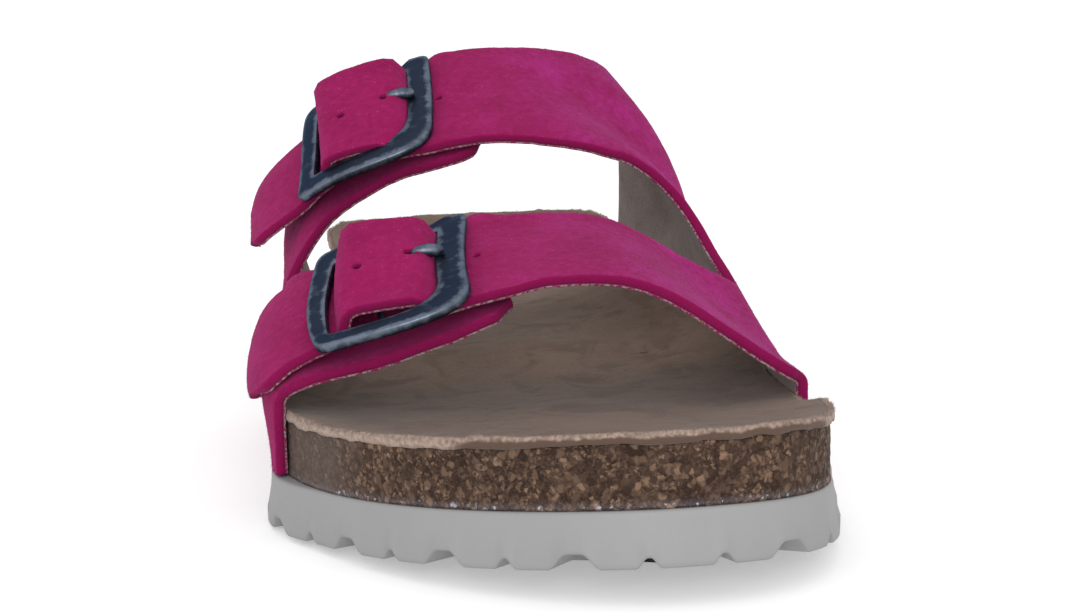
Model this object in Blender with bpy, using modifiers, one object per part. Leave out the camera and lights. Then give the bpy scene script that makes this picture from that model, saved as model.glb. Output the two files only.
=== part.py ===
"""Two-strap cork-footbed sandal for the right foot, standing empty on its sole.

Shoe coordinates are in millimetres: x towards the big toe from the sole's middle line, s forward
from the back of the heel, z up from the floor. The world is in metres with the toe towards -Y.
"""

import bisect
import math
from collections import namedtuple

import bmesh
import bpy
from mathutils import Vector

NAME = "buckled_sandal"
MM = 0.001
SHARP_ANGLE = math.radians(35)
GAP = 0.3
FRAME_GAP = 0.5
ROOT_GAP = 0.6
INSOLE_GAP = 0.45

# Where the shoe's box is centred, in shoe coordinates
CENTRE_X = -6.45
CENTRE_S = 125.0
SHOE_MIDDLE = (0.0, 150.0, 24.0)

# Sole
LENGTH = 250.0
HEEL_X = -1.0
TOE_X = 9.0
HEEL_ROUNDNESS = 2.2
TOE_ROUNDNESS = {"outer": 1.66, "inner": 3.0}
Width = namedtuple("Width", "station outer inner")
SOLE_WIDTHS = (
    Width(38, -35.6, 34.6),
    Width(65, -35.6, 31.4),
    Width(92, -37.6, 29.9),
    Width(120, -42.0, 34.0),
    Width(150, -48.2, 40.8),
    Width(180, -52.5, 43.3),
)

OUTSOLE_TOE_THICKNESS = 9.6
OUTSOLE_HEEL_THICKNESS = 11.5
SOLE_TAPER = 150.0
TOE_SPRING = 6.0
TOE_SPRING_START = 165.0
HEEL_ROLL = 1.2
HEEL_ROLL_LENGTH = 16.0
LEDGE_AT_STRAPS = 2.6
LEDGE_AT_ENDS = 0.4
LEDGE_FADE = 20.0
SOLE_FLARE = 1.1

# Tread: notches along the lower edge, by turns narrow and wide
LUGS_PER_SIDE = 25
NOTCH_HEIGHT = {"narrow": 1.6, "wide": 2.1}
NOTCH_WIDTH = {"narrow": 0.30, "wide": 0.56}
NOTCH_ROOF = {"narrow": 0.08, "wide": 0.30}
NOTCH_REACH = 8.0
NOTCH_END = 9.0
GROOVE_SPAN = (0.10, 0.86)

# Footbed: heights of its suede surface at the middle and at both rims
Bed = namedtuple("Bed", "station middle outer_rim inner_rim cup")
FOOTBED = (
    Bed(0, 35.6, 35.6, 35.6, 2.6),
    Bed(18, 25.4, 36.8, 37.1, 2.6),
    Bed(45, 23.0, 35.6, 37.0, 2.6),
    Bed(75, 24.6, 31.6, 35.8, 2.6),
    Bed(105, 26.0, 27.8, 33.4, 2.5),
    Bed(135, 23.4, 24.8, 27.4, 3.0),
    Bed(165, 20.2, 22.9, 23.4, 4.0),
    Bed(195, 21.2, 22.8, 23.0, 4.5),
    Bed(220, 21.9, 24.2, 24.3, 5.0),
    Bed(238, 24.4, 26.3, 26.3, 5.0),
    Bed(250, 28.1, 28.1, 28.1, 5.0),
)
INSOLE_THICKNESS = 1.6
METATARSAL_PAD = {"x": -2.0, "s": 143.0, "height": 1.8, "half_x": 13.0, "half_s": 14.0}
BED_STATIONS = 44
BED_COLUMNS = 8

# Upper: sections of the foot's form that the suede follows on its inside
Form = namedtuple(
    "Form", "station crown crown_x spring outer_lean inner_lean outer_drape inner_drape"
)
FOOT_FORM = (
    Form(76, 92.5, 1.0, 46.5, 7.2, 0.6, 0.0, -0.08),
    Form(103, 81.3, 1.0, 42.0, 7.0, 7.4, 0.1, -0.04),
    Form(120, 73.6, 2.0, 36.5, 5.0, 4.8, 0.12, 0.28),
    Form(137, 66.0, 2.5, 31.0, 3.2, 0.4, 0.15, -0.02),
    Form(150, 58.6, 3.5, 28.6, 3.2, 0.0, 0.15, 0.19),
    Form(165, 51.3, 5.0, 26.2, 2.4, 0.0, 0.15, 0.66),
    Form(178, 48.4, 6.0, 24.9, 0.9, 0.0, 0.35, 0.85),
    Form(190, 46.0, 7.0, 24.3, 0.1, 0.0, 0.55, 0.82),
    Form(214, 41.5, 8.5, 24.9, 0.0, 0.0, 0.62, 0.85),
)
ARCH_SHARE = 0.8
LEAN_SHARE = {"outer": 1.0, "inner": 0.5}

# Rebate of the footbed that the inner root lies in, deepest at the strap's front edge
REBATE = 3.4
REBATE_START = 150.0
REBATE_LENGTH = 45.0
REBATE_END = 213.0
REBATE_STEP = 4.0
REBATE_FADE = (0.3, 0.75)
SUEDE = 2.2

# Edges of the straps and tabs. Girth runs from -1 at the outer sole edge over 0 at the crown
# to 1 at the inner sole edge, and each row gives the stations of the back and front edge there.
Edge = namedtuple("Edge", "girth back front")
REAR_STRAP = (
    Edge(1.00, 76.5, 151.5),
    Edge(0.80, 78.5, 151.5),
    Edge(0.66, 82.5, 151.5),
    Edge(0.60, 84, 143),
    Edge(0.50, 88, 139.4),
    Edge(0.35, 95.6, 138.4),
    Edge(0.20, 99.8, 139.8),
    Edge(0.05, 102, 139.8),
    Edge(-0.10, 102.0, 137.2),
    Edge(-0.15, 101.5, 134.6),
    Edge(-0.22, 107.2, 129.9),
    Edge(-0.40, 104.6, 126.4),
    Edge(-0.50, 101, 126),
    Edge(-0.62, 100, 125.5),
    Edge(-0.68, 101, 123.5),
    Edge(-0.71, 104, 119.5),
)
FRONT_STRAP = (
    Edge(1.00, 151.5, 203),
    Edge(0.80, 151.5, 204),
    Edge(0.66, 151.5, 205),
    Edge(0.60, 155, 206),
    Edge(0.50, 157.5, 206.3),
    Edge(0.35, 160, 205),
    Edge(0.20, 162.5, 203.5),
    Edge(0.05, 164.5, 201),
    Edge(-0.10, 163.5, 197),
    Edge(-0.16, 162.5, 195.3),
    Edge(-0.23, 168.8, 193.2),
    Edge(-0.30, 168.0, 191.4),
    Edge(-0.44, 166.6, 189.0),
    Edge(-0.62, 158.5, 189),
    Edge(-0.75, 157.5, 187),
    Edge(-0.81, 160.5, 180),
)
REAR_TAB = (
    Edge(-1.00, 84, 138),
    Edge(-0.80, 88, 138),
    Edge(-0.68, 91, 138),
    Edge(-0.62, 93.5, 136),
    Edge(-0.50, 99, 130.5),
    Edge(-0.35, 104.5, 130.5),
    Edge(-0.20, 107.5, 135.5),
    Edge(-0.125, 108.5, 134.5),
    Edge(-0.09, 112, 128.5),
)
FRONT_TAB = (
    Edge(-1.00, 138, 186.5),
    Edge(-0.80, 138, 188.5),
    Edge(-0.68, 138, 190.8),
    Edge(-0.62, 143.5, 192.3),
    Edge(-0.50, 152, 193.6),
    Edge(-0.35, 160, 195),
    Edge(-0.27, 163.5, 196.8),
    Edge(-0.20, 165.5, 196),
    Edge(-0.16, 169.5, 191.5),
)
Notch = namedtuple("Notch", "girth station")
INNER_NOTCH = Notch(0.66, 151.5)
OUTER_NOTCH = Notch(-0.68, 138.0)
ROW_STEP = 0.04
FINE_STEP = 0.018
FINE_START = -0.14
ROOT_ROWS = 6
STRAP_COLUMNS = 5

# Buckles: corners of each frame's middle line as (girth, station)
Buckle = namedtuple(
    "Buckle",
    "inner_back inner_front outer_front outer_back prong_station tab_tip strap_tip tip_standoff",
)
BUCKLES = {
    "rear": Buckle(
        (-0.185, 104.5), (-0.21, 134.5), (-0.50, 128.0), (-0.46, 100.0), 119.0, -0.09, -0.71, 4.6
    ),
    "front": Buckle(
        (-0.19, 165.0), (-0.225, 198.0), (-0.52, 193.0), (-0.435, 162.5), 179.5, -0.15, -0.81, 0.6
    ),
}
FRAME_BAND = 4.6
FRAME_THICKNESS = 1.8
FRAME_CHAMFER = 0.45
FRAME_CORNER = 0.20
FRAME_STEPS = 7
CORNER_STEPS = 5
BAR_RADIUS = 1.0
PRONG_RADIUS = 0.85
HOLE_SPARE = 0.35
TUBE_SIDES = 10
BAR_STEPS = 4
PRONG_START = 0.016
PRONG_END = 0.008
PRONG_STOPS = ((0.36, -1.7), (0.46, -1.3), (0.56, 1.9))
PRONG_CREST = 0.75
PRONG_HUMP = 0.2
BAR_SHARE = 0.52

# Lifts off the foot's form: the tab sinks under the strap, the strap rises over it
TAB_SINK = 2.5
TAB_TIP_SINK = 1.2
SINK_START = -0.62
SINK_END = -0.34
STRAP_RISE = 3.2
RISE_START = 0.05
RISE_END = -0.45
FRAME_OVER_STRAP = SUEDE + FRAME_GAP + FRAME_THICKNESS / 2
BULGE = 1.6
BRIDGE = FRAME_OVER_STRAP + BAR_RADIUS + GAP + BULGE
BRIDGE_FOOT = 0.048
BRIDGE_TOP = 0.05

Finish = namedtuple("Finish", "colour roughness metallic")
FINISHES = {
    "moulded_eva": Finish((0.62, 0.60, 0.57), 0.6, 0.0),
    "cork": Finish((0.16, 0.09, 0.05), 0.85, 0.0),
    "insole_suede": Finish((0.18, 0.13, 0.10), 0.95, 0.0),
    "strap_suede": Finish((0.37, 0.012, 0.14), 0.9, 0.0),
    "buckle_metal": Finish((0.08, 0.09, 0.11), 0.4, 1.0),
}


def clear_scene():
    for old in list(bpy.data.objects):
        bpy.data.objects.remove(old, do_unlink=True)


def new_collection(name):
    made = bpy.data.collections.new(name)
    bpy.context.scene.collection.children.link(made)
    return made


def make_material(name):
    finish = FINISHES[name]
    made = bpy.data.materials.new(name)
    made.use_nodes = True
    shader = made.node_tree.nodes["Principled BSDF"]
    shader.inputs["Base Color"].default_value = (*finish.colour, 1.0)
    shader.inputs["Roughness"].default_value = finish.roughness
    shader.inputs["Metallic"].default_value = finish.metallic
    return made


def mix(a, b, share):
    return a + (b - a) * share


def ease(share):
    share = min(max(share, 0.0), 1.0)
    return share * share * (3.0 - 2.0 * share)


def curve_value(table, column, at):
    """A table's column at any place along its first column, on a smooth curve through its rows."""
    keys = [row[0] for row in table]
    values = [getattr(row, column) for row in table]
    if keys[0] > keys[-1]:
        keys.reverse()
        values.reverse()
    at = min(max(at, keys[0]), keys[-1])
    i = min(max(bisect.bisect_right(keys, at) - 1, 0), len(keys) - 2)

    def slope(k):
        if k in (0, len(keys) - 1):
            return 0.0
        return (values[k + 1] - values[k - 1]) / (keys[k + 1] - keys[k - 1])

    step = keys[i + 1] - keys[i]
    t = (at - keys[i]) / step
    return (
        values[i] * (1 + 2 * t) * (1 - t) ** 2
        + values[i + 1] * t * t * (3 - 2 * t)
        + step * slope(i) * t * (1 - t) ** 2
        - step * slope(i + 1) * t * t * (1 - t)
    )


def world(x, s, z):
    return Vector(((x - CENTRE_X) * MM, (CENTRE_S - s) * MM, z * MM))


# Outline of the cork, walked from the back of the heel to the toe on either side


def edge_walk(side, steps=60):
    """Points (x, s) of one side's outline, closely spaced: heel arc, waist and toe arc."""
    heel, ball = SOLE_WIDTHS[0], SOLE_WIDTHS[-1]
    heel_power, toe_power = 2 / HEEL_ROUNDNESS, 2 / TOE_ROUNDNESS[side]
    heel_reach = getattr(heel, side) - HEEL_X
    toe_reach = getattr(ball, side) - TOE_X
    walk = []
    for k in range(steps):
        turn = math.pi / 2 * k / steps
        back = heel.station * (1 - math.cos(turn) ** heel_power)
        walk.append((HEEL_X + heel_reach * math.sin(turn) ** heel_power, back))
    for k in range(steps):
        station = mix(heel.station, ball.station, k / steps)
        walk.append((curve_value(SOLE_WIDTHS, side, station), station))
    for k in range(steps + 1):
        turn = math.pi / 2 * k / steps
        ahead = (LENGTH - ball.station) * math.sin(turn) ** toe_power
        walk.append((TOE_X + toe_reach * abs(math.cos(turn)) ** toe_power, ball.station + ahead))
    walk[-1] = (TOE_X, LENGTH)
    return walk


def walk_lengths(walk):
    lengths = [0.0]
    for a, b in zip(walk, walk[1:]):
        lengths.append(lengths[-1] + math.dist(a, b))
    return lengths


WALKS = {side: edge_walk(side) for side in ("outer", "inner")}
LENGTHS = {side: walk_lengths(walk) for side, walk in WALKS.items()}
OUTWARD = {"outer": -1.0, "inner": 1.0}


def edge_point(side, share, grow=0.0):
    """The outline point at a share of one side's length, moved outwards by grow."""
    walk, lengths = WALKS[side], LENGTHS[side]
    at = share * lengths[-1]
    i = min(max(bisect.bisect_right(lengths, at) - 1, 0), len(walk) - 2)
    t = (at - lengths[i]) / (lengths[i + 1] - lengths[i])
    x, s = (mix(walk[i][k], walk[i + 1][k], t) for k in (0, 1))
    if share in (0.0, 1.0):
        return x, s + (grow if share else -grow)
    along = Vector((walk[i + 1][0] - walk[i][0], walk[i + 1][1] - walk[i][1])).normalized()
    return x + OUTWARD[side] * along.y * grow, s - OUTWARD[side] * along.x * grow


def edge_x(side, station):
    walk = WALKS[side]
    stations = [point[1] for point in walk]
    i = min(max(bisect.bisect_right(stations, station) - 1, 0), len(walk) - 2)
    run = stations[i + 1] - stations[i]
    t = (min(max(station, 0.0), LENGTH) - stations[i]) / run if run else 0.0
    return mix(walk[i][0], walk[i + 1][0], t)


# Heights of the sole's layers


def floor_rise(s):
    """How far the sole's underside lifts off the floor, for the toe spring and the heel's roll."""
    toe = max(s - TOE_SPRING_START, 0.0) / (LENGTH - TOE_SPRING_START)
    heel = max(HEEL_ROLL_LENGTH - s, 0.0) / HEEL_ROLL_LENGTH
    return TOE_SPRING * toe**2 + HEEL_ROLL * heel**2


def outsole_top(s):
    return floor_rise(s) + mix(OUTSOLE_HEEL_THICKNESS, OUTSOLE_TOE_THICKNESS, ease(s / SOLE_TAPER))


def ledge(side, s):
    """How far the outsole's top stands out past the cork: enough for the suede where it comes down."""
    first, last = (REAR_TAB, FRONT_TAB) if side == "outer" else (REAR_STRAP, FRONT_STRAP)
    back = ease((s - (first[0].back - LEDGE_FADE)) / LEDGE_FADE)
    ahead = ease((last[0].front + LEDGE_FADE - s) / LEDGE_FADE)
    return mix(LEDGE_AT_ENDS, LEDGE_AT_STRAPS, back * ahead)


def footbed_top(x, s):
    outer, inner = edge_x("outer", s), edge_x("inner", s)
    share = (x - outer) / max(inner - outer, 1e-6)
    rim = curve_value(FOOTBED, "outer_rim" if share < 0.5 else "inner_rim", s)
    middle = curve_value(FOOTBED, "middle", s)
    away = min(abs(2 * share - 1), 1.0) ** curve_value(FOOTBED, "cup", s)
    pad = METATARSAL_PAD
    off_x, off_s = (x - pad["x"]) / pad["half_x"], (s - pad["s"]) / pad["half_s"]
    return mix(middle, rim, away) + pad["height"] * math.exp(-(off_x**2) - off_s**2)


def rebate(s):
    """How far the footbed's inner wall is set in at a station."""
    deep = ease((s - REBATE_START) / REBATE_LENGTH)
    return REBATE * deep * ease((REBATE_END - s) / REBATE_STEP)


def bed_edge(side, share):
    """A point of the footbed's outline, set in by the rebate on the inner side."""
    s = edge_point(side, share)[1]
    return edge_point(side, share, -rebate(s) if side == "inner" else 0.0)


# Form of the foot under the suede


def form_point(girth, s):
    """The point of the foot's form at a girth share and a station."""
    side = "outer" if girth < 0 else "inner"
    away = OUTWARD[side]
    low, high = REBATE_FADE
    tuck = rebate(s) * ease((girth - low) / (high - low))
    wall = edge_x(side, s) - tuck + away * GAP
    lean = curve_value(FOOT_FORM, f"{side}_lean", s)
    spring = curve_value(FOOT_FORM, "spring", s)
    if abs(girth) > ARCH_SHARE:
        down = (abs(girth) - ARCH_SHARE) / (1 - ARCH_SHARE)
        z = mix(spring, outsole_top(s) + ROOT_GAP, down)
        return Vector((wall + away * lean * (1 - ease(down / LEAN_SHARE[side])), s, z))
    turn = math.pi / 2 * abs(girth) / ARCH_SHARE
    across = math.sin(turn)
    drape = curve_value(FOOT_FORM, f"{side}_drape", s)
    rise = mix(math.cos(turn), (1 + math.cos(math.pi * across)) / 2, drape)
    crown = curve_value(FOOT_FORM, "crown", s)
    crown_x = curve_value(FOOT_FORM, "crown_x", s)
    return Vector((mix(crown_x, wall + away * lean, across), s, mix(spring, crown, rise)))


def form_frame(girth, s):
    """The form's point with its directions along the girth, forward and outwards."""
    step_girth, step_s = 0.004, 0.5
    along = form_point(girth + step_girth, s) - form_point(girth - step_girth, s)
    ahead = form_point(girth, s + step_s) - form_point(girth, s - step_s)
    out = along.cross(ahead).normalized()
    return form_point(girth, s), along.normalized(), ahead.normalized(), out


def lifted(girth, s, lift):
    point, _, _, out = form_frame(girth, s)
    return point + out * lift


def tab_lift(buckle, girth, s):
    """How far the tab's underside lies off the form: on it at the root, sunk under the strap."""
    start = bar_girths(buckle, s)[0]
    sink = TAB_SINK * ease((girth - SINK_START) / (SINK_END - SINK_START))
    return -sink - TAB_TIP_SINK * ease((girth - start) / (buckle.tab_tip - start))


def strap_base(girth):
    """How far a strap's underside stands off the form where no bar lifts it."""
    return STRAP_RISE * ease((RISE_START - girth) / (RISE_START - RISE_END))


def on_frame(girth, s, lift=0.0):
    """A point in the bent plane of a buckle's frame, or lifted off it."""
    return lifted(girth, s, strap_base(girth) + FRAME_OVER_STRAP + lift)


def bar_girths(buckle, s):
    """Girths of the frame's inner bar, centre bar and outer bar at a station."""
    share = (s - buckle.inner_back[1]) / (buckle.inner_front[1] - buckle.inner_back[1])
    inner = mix(buckle.inner_back[0], buckle.inner_front[0], share)
    outer = mix(buckle.outer_back[0], buckle.outer_front[0], share)
    return inner, mix(inner, outer, BAR_SHARE), outer


def strap_lift(buckle, girth, s):
    """How far a strap's underside stands off the form: bridging the centre bar, free at its tip."""
    inner, bar, outer = bar_girths(buckle, s)
    rising = ease((inner - BRIDGE_FOOT - girth) / (inner - BRIDGE_FOOT - BRIDGE_TOP - bar))
    falling = ease((girth - outer - BRIDGE_FOOT) / (bar - outer - BRIDGE_FOOT - BRIDGE_TOP))
    free = ease((outer - BRIDGE_FOOT - girth) / (outer - BRIDGE_FOOT - buckle.strap_tip))
    return strap_base(girth) + BRIDGE * rising * falling + buckle.tip_standoff * free


# Building blocks


def finish_object(name, bm, material, collection):
    bmesh.ops.remove_doubles(bm, verts=bm.verts, dist=1e-7)
    bmesh.ops.recalc_face_normals(bm, faces=bm.faces)
    mesh = bpy.data.meshes.new(name)
    bm.to_mesh(mesh)
    bm.free()
    mesh.shade_smooth()
    mesh.set_sharp_from_angle(angle=SHARP_ANGLE)
    made = bpy.data.objects.new(name, mesh)
    collection.objects.link(made)
    if material:
        mesh.materials.append(material)
    return made


def loft(bm, rings, wrap_rings=False):
    """Faces between closed rings of points, and from the last ring to the first where they wrap."""
    rows = [[bm.verts.new(point) for point in ring] for ring in rings]
    following = rows[1:] + rows[:1] if wrap_rings else rows[1:]
    for a, b in zip(rows, following):
        for k in range(len(a)):
            n = (k + 1) % len(a)
            bm.faces.new((a[k], a[n], b[n], b[k]))
    return rows


def loft_layer(bm, rings):
    """Triangles between rings whose second half runs back under the first, split the same way."""
    rows = [[bm.verts.new(point) for point in ring] for ring in rings]
    for a, b in zip(rows, rows[1:]):
        for k in range(len(a)):
            n = (k + 1) % len(a)
            over = k < len(a) // 2
            bm.faces.new((a[k], a[n], b[n] if over else b[k]))
            bm.faces.new((a[k], b[n], b[k]) if over else (a[n], b[n], b[k]))


def tube(bm, points, radius, across):
    """A round closed tube through points, turning about the direction across."""
    rings = []
    for i, point in enumerate(points):
        run = (points[min(i + 1, len(points) - 1)] - points[max(i - 1, 0)]).normalized()
        rise = run.cross(across).normalized()
        flat = rise.cross(run)
        turns = [2 * math.pi * k / TUBE_SIDES for k in range(TUBE_SIDES)]
        rings.append(
            [world(*(point + (flat * math.cos(a) + rise * math.sin(a)) * radius)) for a in turns]
        )
    rows = loft(bm, rings)
    bm.faces.new(rows[0])
    bm.faces.new(rows[-1])


def bed_layer(name, material, collection, top, bottom):
    """A layer of the sole between two height functions, within the cork's outline."""
    bm = bmesh.new()
    rings = []
    for i in range(BED_STATIONS + 1):
        share = i / BED_STATIONS
        ends = [bed_edge(side, share) for side in ("outer", "inner")]
        row = [
            tuple(mix(ends[0][k], ends[1][k], column / BED_COLUMNS) for k in (0, 1))
            for column in range(BED_COLUMNS + 1)
        ]
        over = [world(x, s, top(x, s)) for x, s in row]
        under = [world(x, s, bottom(x, s)) for x, s in reversed(row)]
        rings.append(over + under)
    loft_layer(bm, rings)
    return finish_object(name, bm, material, collection)


def notch_rows():
    """Shares along a side with the notch's height there and whether its groove runs right across."""
    rows = []
    for lug in range(LUGS_PER_SIDE):
        kind = "wide" if lug % 2 else "narrow"
        middle = (lug + 0.5) / LUGS_PER_SIDE
        across = kind == "wide" and GROOVE_SPAN[0] < middle < GROOVE_SPAN[1]
        foot, roof = (width / 2 / LUGS_PER_SIDE for width in (NOTCH_WIDTH[kind], NOTCH_ROOF[kind]))
        rows.append((lug / LUGS_PER_SIDE, 0.0, False))
        for offset, height in ((-foot, 0.0), (-roof, 1.0), (roof, 1.0), (foot, 0.0)):
            rows.append((middle + offset, height * NOTCH_HEIGHT[kind], across))
    return rows + [(1.0, 0.0, False)]


def build_outsole(material, collection):
    bm = bmesh.new()
    rings = []
    for share, notch, across in notch_rows():
        halves = []
        for side in ("outer", "inner"):
            s = edge_point(side, share)[1]
            top = edge_point(side, share, ledge(side, s))
            foot = edge_point(side, share, ledge(side, s) + SOLE_FLARE)
            reach = edge_point(side, share, -NOTCH_REACH)
            end = edge_point(side, share, -NOTCH_END)
            halves.append(
                [
                    world(*top, outsole_top(top[1])),
                    world(*foot, floor_rise(foot[1]) + notch),
                    world(*reach, floor_rise(reach[1]) + notch),
                    world(*end, floor_rise(end[1]) + (notch if across else 0.0)),
                ]
            )
        rings.append(halves[0] + halves[1][::-1])
    loft(bm, rings)
    return finish_object("outsole", bm, material, collection)


def strap_rows(edges, notch):
    """Girths of a strap's rows: few down its root, closer to its tip, closest about the buckle."""
    rows = [mix(edges[0].girth, notch.girth, k / ROOT_ROWS) for k in range(ROOT_ROWS)]
    girth, tip = notch.girth, edges[-1].girth
    while girth - tip > FINE_STEP / 2 if notch.girth > 0 else tip - girth > FINE_STEP / 2:
        rows.append(girth)
        step = FINE_STEP if notch.girth > 0 and girth < FINE_START else ROW_STEP
        girth += step if notch.girth < 0 else -step
    return rows + [tip]


def strap_edges(edges, notch, girth):
    """A strap's back and front stations. Below the notch both straps share one line."""
    back, front = (curve_value(edges, column, girth) for column in ("back", "front"))
    on_root = girth >= notch.girth if notch.girth > 0 else girth <= notch.girth
    if on_root:
        behind = edges[0].back < notch.station
        return (back, notch.station) if behind else (notch.station, front)
    return back, front


def add_strap(bm, edges, notch, lift):
    """The inside surface of one strap or tab, as a grid between its back and front edges."""
    rows = []
    for girth in strap_rows(edges, notch):
        back, front = strap_edges(edges, notch, girth)
        row = []
        for column in range(STRAP_COLUMNS + 1):
            s = mix(back, front, column / STRAP_COLUMNS)
            point = lifted(girth, s, lift(girth, s))
            row.append(bm.verts.new(world(*point)))
        rows.append(row)
    for a, b in zip(rows, rows[1:]):
        for k in range(STRAP_COLUMNS):
            bm.faces.new((a[k], a[k + 1], b[k + 1], b[k]))


def build_upper(name, straps, notch, material, collection):
    """One suede piece: a root that splits at its notch, thickened outwards."""
    bm = bmesh.new()
    for edges, lift in straps:
        add_strap(bm, edges, notch, lift)
    bmesh.ops.remove_doubles(bm, verts=bm.verts, dist=1e-7)
    made = finish_object(name, bm, material, collection)
    wall = made.modifiers.new("wall", "SOLIDIFY")
    wall.thickness = SUEDE * MM
    wall.offset = 1.0 if faces_out(made) else -1.0
    wall.use_even_offset = True
    return made


def faces_out(made):
    """Whether the surface's normals point away from the inside of the shoe."""
    inside = world(*SHOE_MIDDLE)
    return sum(face.normal.dot(face.center - inside) * face.area for face in made.data.polygons) > 0


def frame_route(buckle):
    """The frame's middle line round its four corners, rounded, as (girth, station)."""
    corners = [buckle.inner_back, buckle.inner_front, buckle.outer_front, buckle.outer_back]
    route = []
    for i, corner in enumerate(corners):
        before, after = corners[i - 1], corners[(i + 1) % 4]
        enter = [mix(corner[k], before[k], FRAME_CORNER) for k in (0, 1)]
        leave = [mix(corner[k], after[k], FRAME_CORNER) for k in (0, 1)]
        for step in range(CORNER_STEPS):
            t = step / (CORNER_STEPS - 1)
            route.append([mix(mix(enter[k], corner[k], t), mix(corner[k], leave[k], t), t) for k in (0, 1)])
        reach = [mix(after[k], corner[k], FRAME_CORNER) for k in (0, 1)]
        for step in range(1, FRAME_STEPS):
            route.append([mix(leave[k], reach[k], step / FRAME_STEPS) for k in (0, 1)])
    return route


def band_ring(centre, side, out):
    """A chamfered rectangle across the frame's band."""
    half, thick, cut = FRAME_BAND / 2, FRAME_THICKNESS / 2, FRAME_CHAMFER
    outline = (
        (-half, -thick + cut), (-half, thick - cut), (-half + cut, thick), (half - cut, thick),
        (half, thick - cut), (half, -thick + cut), (half - cut, -thick), (-half + cut, -thick),
    )
    return [world(*(centre + side * a + out * b)) for a, b in outline]


def build_bar(buckle, name, cutters):
    """The centre bar, in the plane of the frame and hidden under the strap."""
    back = mix(buckle.inner_back[1], buckle.outer_back[1], BAR_SHARE)
    front = mix(buckle.inner_front[1], buckle.outer_front[1], BAR_SHARE)
    stations = [mix(back, front, k / BAR_STEPS) for k in range(BAR_STEPS + 1)]
    points = [on_frame(bar_girths(buckle, s)[1], s) for s in stations]
    middle = stations[BAR_STEPS // 2]
    _, along, _, _ = form_frame(bar_girths(buckle, middle)[1], middle)
    bm = bmesh.new()
    tube(bm, points, BAR_RADIUS, along)
    return hide_helper(finish_object(f"{name}_bar", bm, None, cutters))


def hide_helper(helper):
    helper.hide_render = True
    helper.display_type = "WIRE"
    return helper


def add_boolean(target, helper, operation):
    modifier = target.modifiers.new(f"{operation.lower()}_{helper.name}", "BOOLEAN")
    modifier.operation = operation
    modifier.solver = "EXACT"
    modifier.object = helper


def build_buckle(name, buckle, material, collection, cutters):
    route = frame_route(buckle)
    centres = [on_frame(girth, s) for girth, s in route]
    rings = []
    for i, (girth, s) in enumerate(route):
        _, _, _, out = form_frame(girth, s)
        ahead = (centres[(i + 1) % len(centres)] - centres[i - 1]).normalized()
        side = ahead.cross(out).normalized()
        rings.append(band_ring(centres[i], side, side.cross(ahead).normalized()))
    bm = bmesh.new()
    loft(bm, rings, wrap_rings=True)
    made = finish_object(name, bm, material, collection)
    add_boolean(made, build_bar(buckle, name, cutters), "UNION")
    return made


def prong_points(buckle):
    """The tongue's line: from the centre bar, up through the strap and onto the inner bar."""
    inner, bar, _ = bar_girths(buckle, buckle.prong_station)
    rest = FRAME_THICKNESS / 2 + GAP + PRONG_RADIUS
    rising = [(mix(bar, inner, share), lift) for share, lift in PRONG_STOPS]
    crest = (mix(bar, inner, PRONG_CREST), rest + PRONG_HUMP)
    stops = [(bar + PRONG_START, 0.0), *rising, crest, (inner + PRONG_END, rest)]
    return [on_frame(girth, buckle.prong_station, lift) for girth, lift in stops]


def prong_tube(name, buckle, spare, material, collection):
    inner, _, _ = bar_girths(buckle, buckle.prong_station)
    _, _, ahead, _ = form_frame(inner, buckle.prong_station)
    bm = bmesh.new()
    tube(bm, prong_points(buckle), PRONG_RADIUS + spare, ahead)
    return finish_object(name, bm, material, collection)


def main():
    clear_scene()
    parts = new_collection(NAME)
    cutters = new_collection(f"{NAME}_cutters")
    finishes = {name: make_material(name) for name in FINISHES}

    build_outsole(finishes["moulded_eva"], parts)
    under_suede = INSOLE_THICKNESS + INSOLE_GAP
    bed_layer(
        "cork_midsole", finishes["cork"], parts,
        lambda x, s: footbed_top(x, s) - under_suede,
        lambda x, s: outsole_top(s) + GAP,
    )
    bed_layer(
        "insole", finishes["insole_suede"], parts,
        footbed_top,
        lambda x, s: footbed_top(x, s) - INSOLE_THICKNESS,
    )

    tabs = [
        (REAR_TAB, lambda girth, s: tab_lift(BUCKLES["rear"], girth, s)),
        (FRONT_TAB, lambda girth, s: tab_lift(BUCKLES["front"], girth, s)),
    ]
    build_upper("upper_outer", tabs, OUTER_NOTCH, finishes["strap_suede"], parts)
    straps = [
        (REAR_STRAP, lambda girth, s: strap_lift(BUCKLES["rear"], girth, s)),
        (FRONT_STRAP, lambda girth, s: strap_lift(BUCKLES["front"], girth, s)),
    ]
    upper = build_upper("upper_inner", straps, INNER_NOTCH, finishes["strap_suede"], parts)

    for place, buckle in BUCKLES.items():
        build_buckle(f"buckle_{place}", buckle, finishes["buckle_metal"], parts, cutters)
        prong_tube(f"prong_{place}", buckle, 0.0, finishes["buckle_metal"], parts)
        hole = prong_tube(f"hole_{place}", buckle, HOLE_SPARE, None, cutters)
        add_boolean(upper, hide_helper(hole), "DIFFERENCE")


main()
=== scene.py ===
"""The looks of a buckled suede sandal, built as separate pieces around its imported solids.

Shoe coordinates are in millimetres: x towards the big toe from the sole's middle line, s forward
from the back of the heel, z up from the floor. Pieces are placed in metres with the toe towards -Y.
"""

import itertools
import math
from collections import namedtuple
from functools import partial

import bmesh
import bpy
import numpy as np
from bpy.props import FloatProperty, FloatVectorProperty, IntProperty, PointerProperty
from mathutils import Matrix, Vector


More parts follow.
